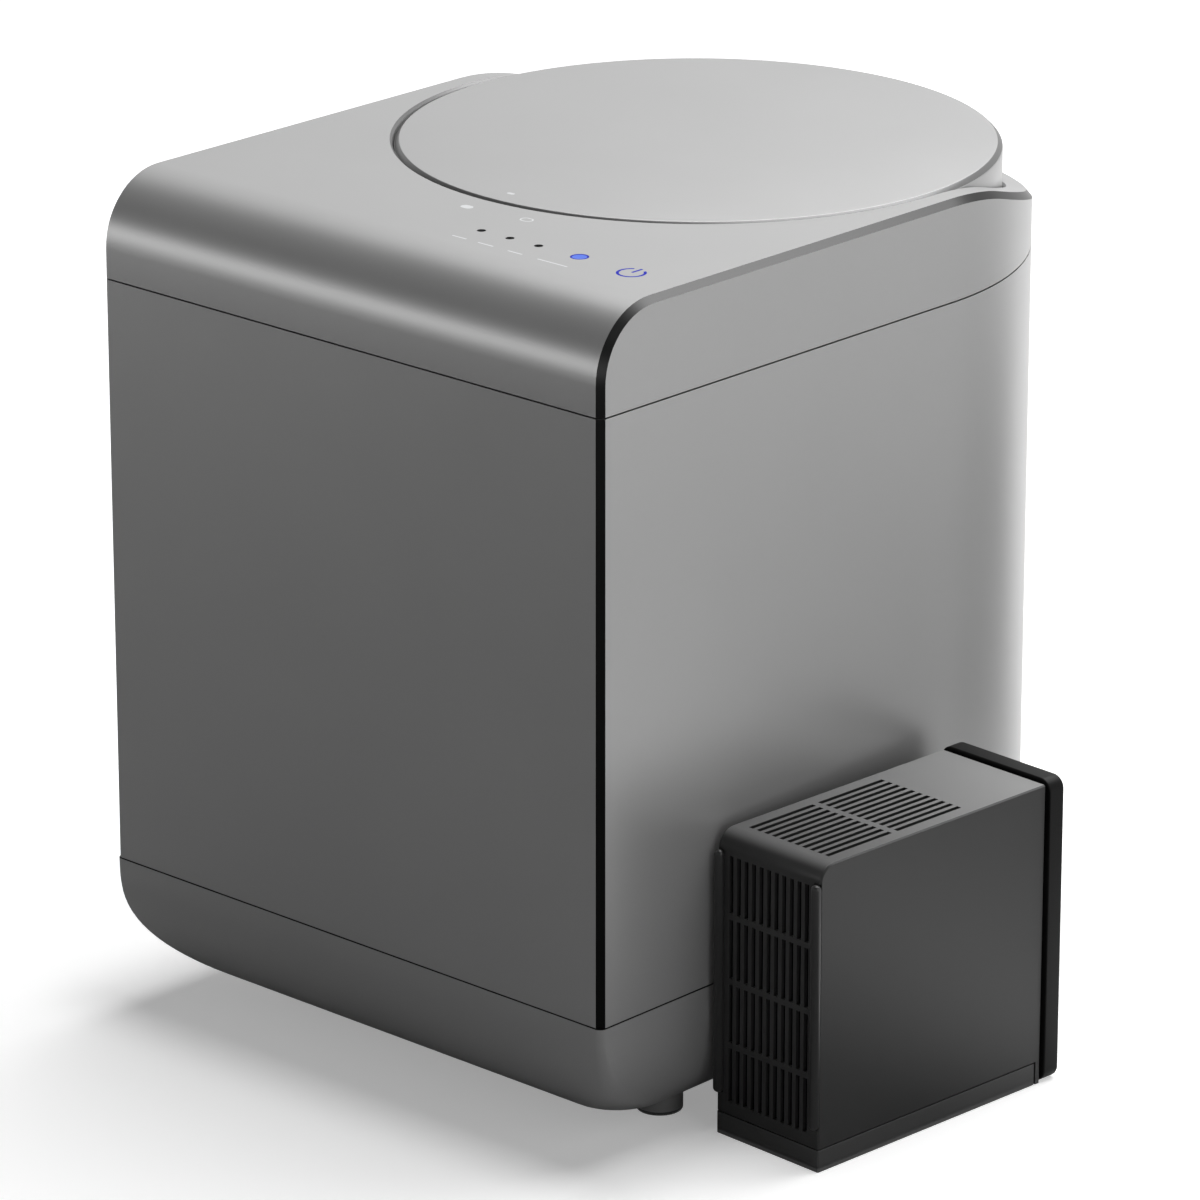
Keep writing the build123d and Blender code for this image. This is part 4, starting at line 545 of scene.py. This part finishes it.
# ------------------------------------------------------------------ guide rods
# Two round black plastic rods with domed ends, let into grooves at the front corners of the
# shell and standing out of them by more than half their thickness.
ROD_DOME = [(0, 0), (1.0, 0.2), (1.8, 0.8), (2.3, 1.5), (2.5, 2.4)]
rod_plastic = finish("rod_plastic", 0.030, 0.040, (0.25, 0.35), 0.6)
for side in ("left", "right"):
    low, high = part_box("guide_rod_" + side)
    rod_mid = Vector(((low.x + high.x) / 2, (low.y + high.y) / 2, 0))
    rod = turned(
        [(out, low.z / MM + up) for out, up in ROD_DOME]
        + [(out, high.z / MM - up) for out, up in reversed(ROD_DOME)],
        rod_mid, 32,
    )
    piece("rod_" + side, rod, "cartridge", ["guide_rod_" + side], [rod_plastic])

# ------------------------------------------------------------------ filter media
# Charcoal fleece folded into pleats behind the grille, and behind it a block of pressed
# carbon granules. Both stand in the tray.
fleece = finish("fleece", 0.008, 0.014, (0.9, 1.0), 0.8, 0.1, Specular_IOR_Level=0.1)
carbon = finish("carbon", 0.006, 0.02, (0.55, 0.9), 2.0, 0.5)
piece("pleats", solid_of("dust_filter"), "cartridge", ["dust_filter"], [fleece])
piece("granules", solid_of("carbon_block"), "cartridge", ["carbon_block"],
      [carbon], 0.6)

# ------------------------------------------------------------------ studio floor
# Seamless pale paper that glows a little, more far away, and keeps the soft shadow. Beside
# the machine the glow drops: a painted shadow along its edge. The glow is meant for the camera
# and for reflections, though a trace of it lights the machine as well.
FLOOR_SIZE = 120
GLOW_IN_PAINTED_SHADOW, GLOW, GLOW_GAIN = 0.24, 0.50, 1.4
PAINTED_SHADOW_EDGE, FAR_OFF = (-0.02, 0.05), (0.35, 1.2)
HALF_D = 207 * MM


def sheet(name, middle, width, depth):
    """Flat stage sheet that faces up."""
    shape = bmesh.new()
    bmesh.ops.create_grid(shape, x_segments=1, y_segments=1, size=0.5)
    bmesh.ops.scale(shape, vec=(width, depth, 1), verts=shape.verts)
    bmesh.ops.translate(shape, vec=middle, verts=shape.verts)
    mesh = bpy.data.meshes.new(name)
    shape.to_mesh(mesh)
    shape.free()
    made = bpy.data.objects.new(name, mesh)
    bpy.context.scene.collection.objects.link(made)
    return made


paper = bpy.data.materials.new("floor_paper")
paper.use_nodes = True
tree = paper.node_tree
tree.nodes.clear()
matt = tree.nodes.new("ShaderNodeBsdfDiffuse")
matt.inputs["Color"].default_value = (0.88, 0.88, 0.88, 1)
glow = tree.nodes.new("ShaderNodeEmission")
path = tree.nodes.new("ShaderNodeLightPath")
away = distance_outside(
    tree, machine_foot + Vector((0, HALF_D, 0)), Vector((HALF_W, HALF_D, 0))
)
# Less glow within a few cm of the machine: a painted shadow along its base.
level = worked(
    tree, "MULTIPLY", ramped(tree, away, *PAINTED_SHADOW_EDGE, GLOW_IN_PAINTED_SHADOW, GLOW),
    ramped(tree, away, *FAR_OFF, 1.0, GLOW_GAIN),
)
seen = worked(tree, "SUBTRACT", 1.0, path.outputs["Is Diffuse Ray"])
tree.links.new(worked(tree, "MULTIPLY", seen, level), glow.inputs["Strength"])
both = tree.nodes.new("ShaderNodeAddShader")
tree.links.new(matt.outputs[0], both.inputs[0])
tree.links.new(glow.outputs[0], both.inputs[1])
end = tree.nodes.new("ShaderNodeOutputMaterial")
tree.links.new(both.outputs[0], end.inputs["Surface"])
sheet("floor", Vector((0, 0, 0)), FLOOR_SIZE, FLOOR_SIZE).data.materials.append(paper)

# ------------------------------------------------------------------ black flag
# Black felt on the floor, seen only in reflections: in front of the machine, so that the
# upright front stays darker than the top, and a thinner share behind it. Its edges fade out.
REAR_SHARE = 0.85
FRONT_PATCH = (("Y", 0.10, -0.06), ("Y", -2.9, -2.2), ("X", -1.9, -1.2), ("X", 2.6, 1.9))
REAR_PATCH = (("Y", 0.05, 0.45), ("Y", 1.6, 1.0), ("X", -0.05, 0.25), ("X", 1.2, 0.45))
flag_finish = bpy.data.materials.new("flag_felt")
flag_finish.use_nodes = True
tree = flag_finish.node_tree
tree.nodes.clear()
place = tree.nodes.new("ShaderNodeTexCoord")
parts = tree.nodes.new("ShaderNodeSeparateXYZ")
tree.links.new(place.outputs["Object"], parts.inputs[0])
covered = []
for fades, share in ((FRONT_PATCH, 1.0), (REAR_PATCH, REAR_SHARE)):
    for axis, start, stop in fades:
        share = worked(tree, "MULTIPLY", share, ramped(tree, parts.outputs[axis], start, stop))
    covered.append(share)
clear = tree.nodes.new("ShaderNodeBsdfTransparent")
felt = tree.nodes.new("ShaderNodeBsdfDiffuse")
felt.inputs["Color"].default_value = (0.01, 0.01, 0.01, 1)
laid = tree.nodes.new("ShaderNodeMixShader")
tree.links.new(worked(tree, "MAXIMUM", *covered), laid.inputs[0])
tree.links.new(clear.outputs[0], laid.inputs[1])
tree.links.new(felt.outputs[0], laid.inputs[2])
end = tree.nodes.new("ShaderNodeOutputMaterial")
tree.links.new(laid.outputs[0], end.inputs["Surface"])
flag = sheet("flag", Vector((0.35, 0, 0.002)), 4.6, 5.9)
flag.data.materials.append(flag_finish)
flag.visible_camera = False
flag.visible_diffuse = False
flag.visible_transmission = False
flag.visible_shadow = False

# ------------------------------------------------------------------ backdrop
# White to the camera. In reflections it is nearly white behind the machine and along the
# horizon, and a dark room above the horizon in front.
FILL, ROOM, WHITE = 0.02, 0.05, 0.9
REAR_FADE, HORIZON_FADE = (-0.10, 0.35), (0.30, 0.06)


def between(tree, low, high, factor):
    """Mix of two values, each a socket or a plain number."""
    made = tree.nodes.new("ShaderNodeMix")
    tree.links.new(factor, made.inputs["Factor"])
    for socket, value in (("A", low), ("B", high)):
        if isinstance(value, (int, float)):
            made.inputs[socket].default_value = value
        else:
            tree.links.new(value, made.inputs[socket])
    return made.outputs["Result"]


world = bpy.data.worlds.new("studio")
world.use_nodes = True
bpy.context.scene.world = world
tree = world.node_tree
tree.nodes.clear()
place = tree.nodes.new("ShaderNodeTexCoord")
parts = tree.nodes.new("ShaderNodeSeparateXYZ")
tree.links.new(place.outputs["Generated"], parts.inputs[0])
path = tree.nodes.new("ShaderNodeLightPath")
behind = ramped(tree, parts.outputs["Y"], *REAR_FADE)
horizon = ramped(tree, parts.outputs["Z"], *HORIZON_FADE)
mirrored = between(tree, ROOM, WHITE, worked(tree, "MAXIMUM", behind, horizon))
lit = between(tree, FILL, mirrored, path.outputs["Is Glossy Ray"])
straight = worked(
    tree, "MAXIMUM", path.outputs["Is Camera Ray"], path.outputs["Is Transmission Ray"]
)
sky = tree.nodes.new("ShaderNodeBackground")
tree.links.new(between(tree, lit, 1.0, straight), sky.inputs["Strength"])
end = tree.nodes.new("ShaderNodeOutputWorld")
tree.links.new(sky.outputs[0], end.inputs["Surface"])

# ------------------------------------------------------------------ lamps
# A wide soft box overhead, a faint one on the right, and a low strip at the front left that
# draws the bright line along the rounded front edge.
stage_centre = machine_foot + Vector((0, 204, 228)) * MM


def soft_box(name, direction, distance, width, height, power):
    """Area lamp that looks at the middle of the machine from a direction."""
    lamp = bpy.data.lights.new(name, "AREA")
    lamp.shape = "RECTANGLE"
    lamp.size, lamp.size_y, lamp.energy = width, height, power
    holder = bpy.data.objects.new(name, lamp)
    toward = Vector(direction).normalized()
    holder.location = stage_centre + toward * distance
    holder.rotation_mode = "QUATERNION"
    holder.rotation_quaternion = toward.to_track_quat("Z", "Y")
    holder.visible_camera = False
    bpy.context.scene.collection.objects.link(holder)


soft_box("overhead_box", (0.06, 0.42, 1.0), 1.8, 1.9, 1.9, 52)
soft_box("right_box", (1.0, -0.1, 0.30), 2.0, 1.2, 1.6, 6)
soft_box("front_strip", (-0.64, -0.76, 0.18), 1.7, 2.2, 0.40, 4.8)

# ------------------------------------------------------------------ camera
# Long lens at the front right, 3.6 m from the machine and about a metre above its lid, so
# that the upright edges run nearly parallel.
VIEW_DOWN, VIEW_ROUND, LENS = 19.479, 42.785, 215.19
VIEW_OFFSET = Vector((-17.803, -27.852, 3570.28))
view_turn = Euler((radians(90 - VIEW_DOWN), 0, radians(VIEW_ROUND)))
camera_data = bpy.data.cameras.new("camera")
camera_data.lens, camera_data.sensor_width = LENS, 36
camera_data.clip_end = 200
camera = bpy.data.objects.new("camera", camera_data)
camera.rotation_euler = view_turn
camera.location = stage_centre + view_turn.to_matrix() @ VIEW_OFFSET * MM
bpy.context.scene.collection.objects.link(camera)
bpy.context.scene.camera = camera
bpy.context.scene.view_settings.view_transform = "Standard"
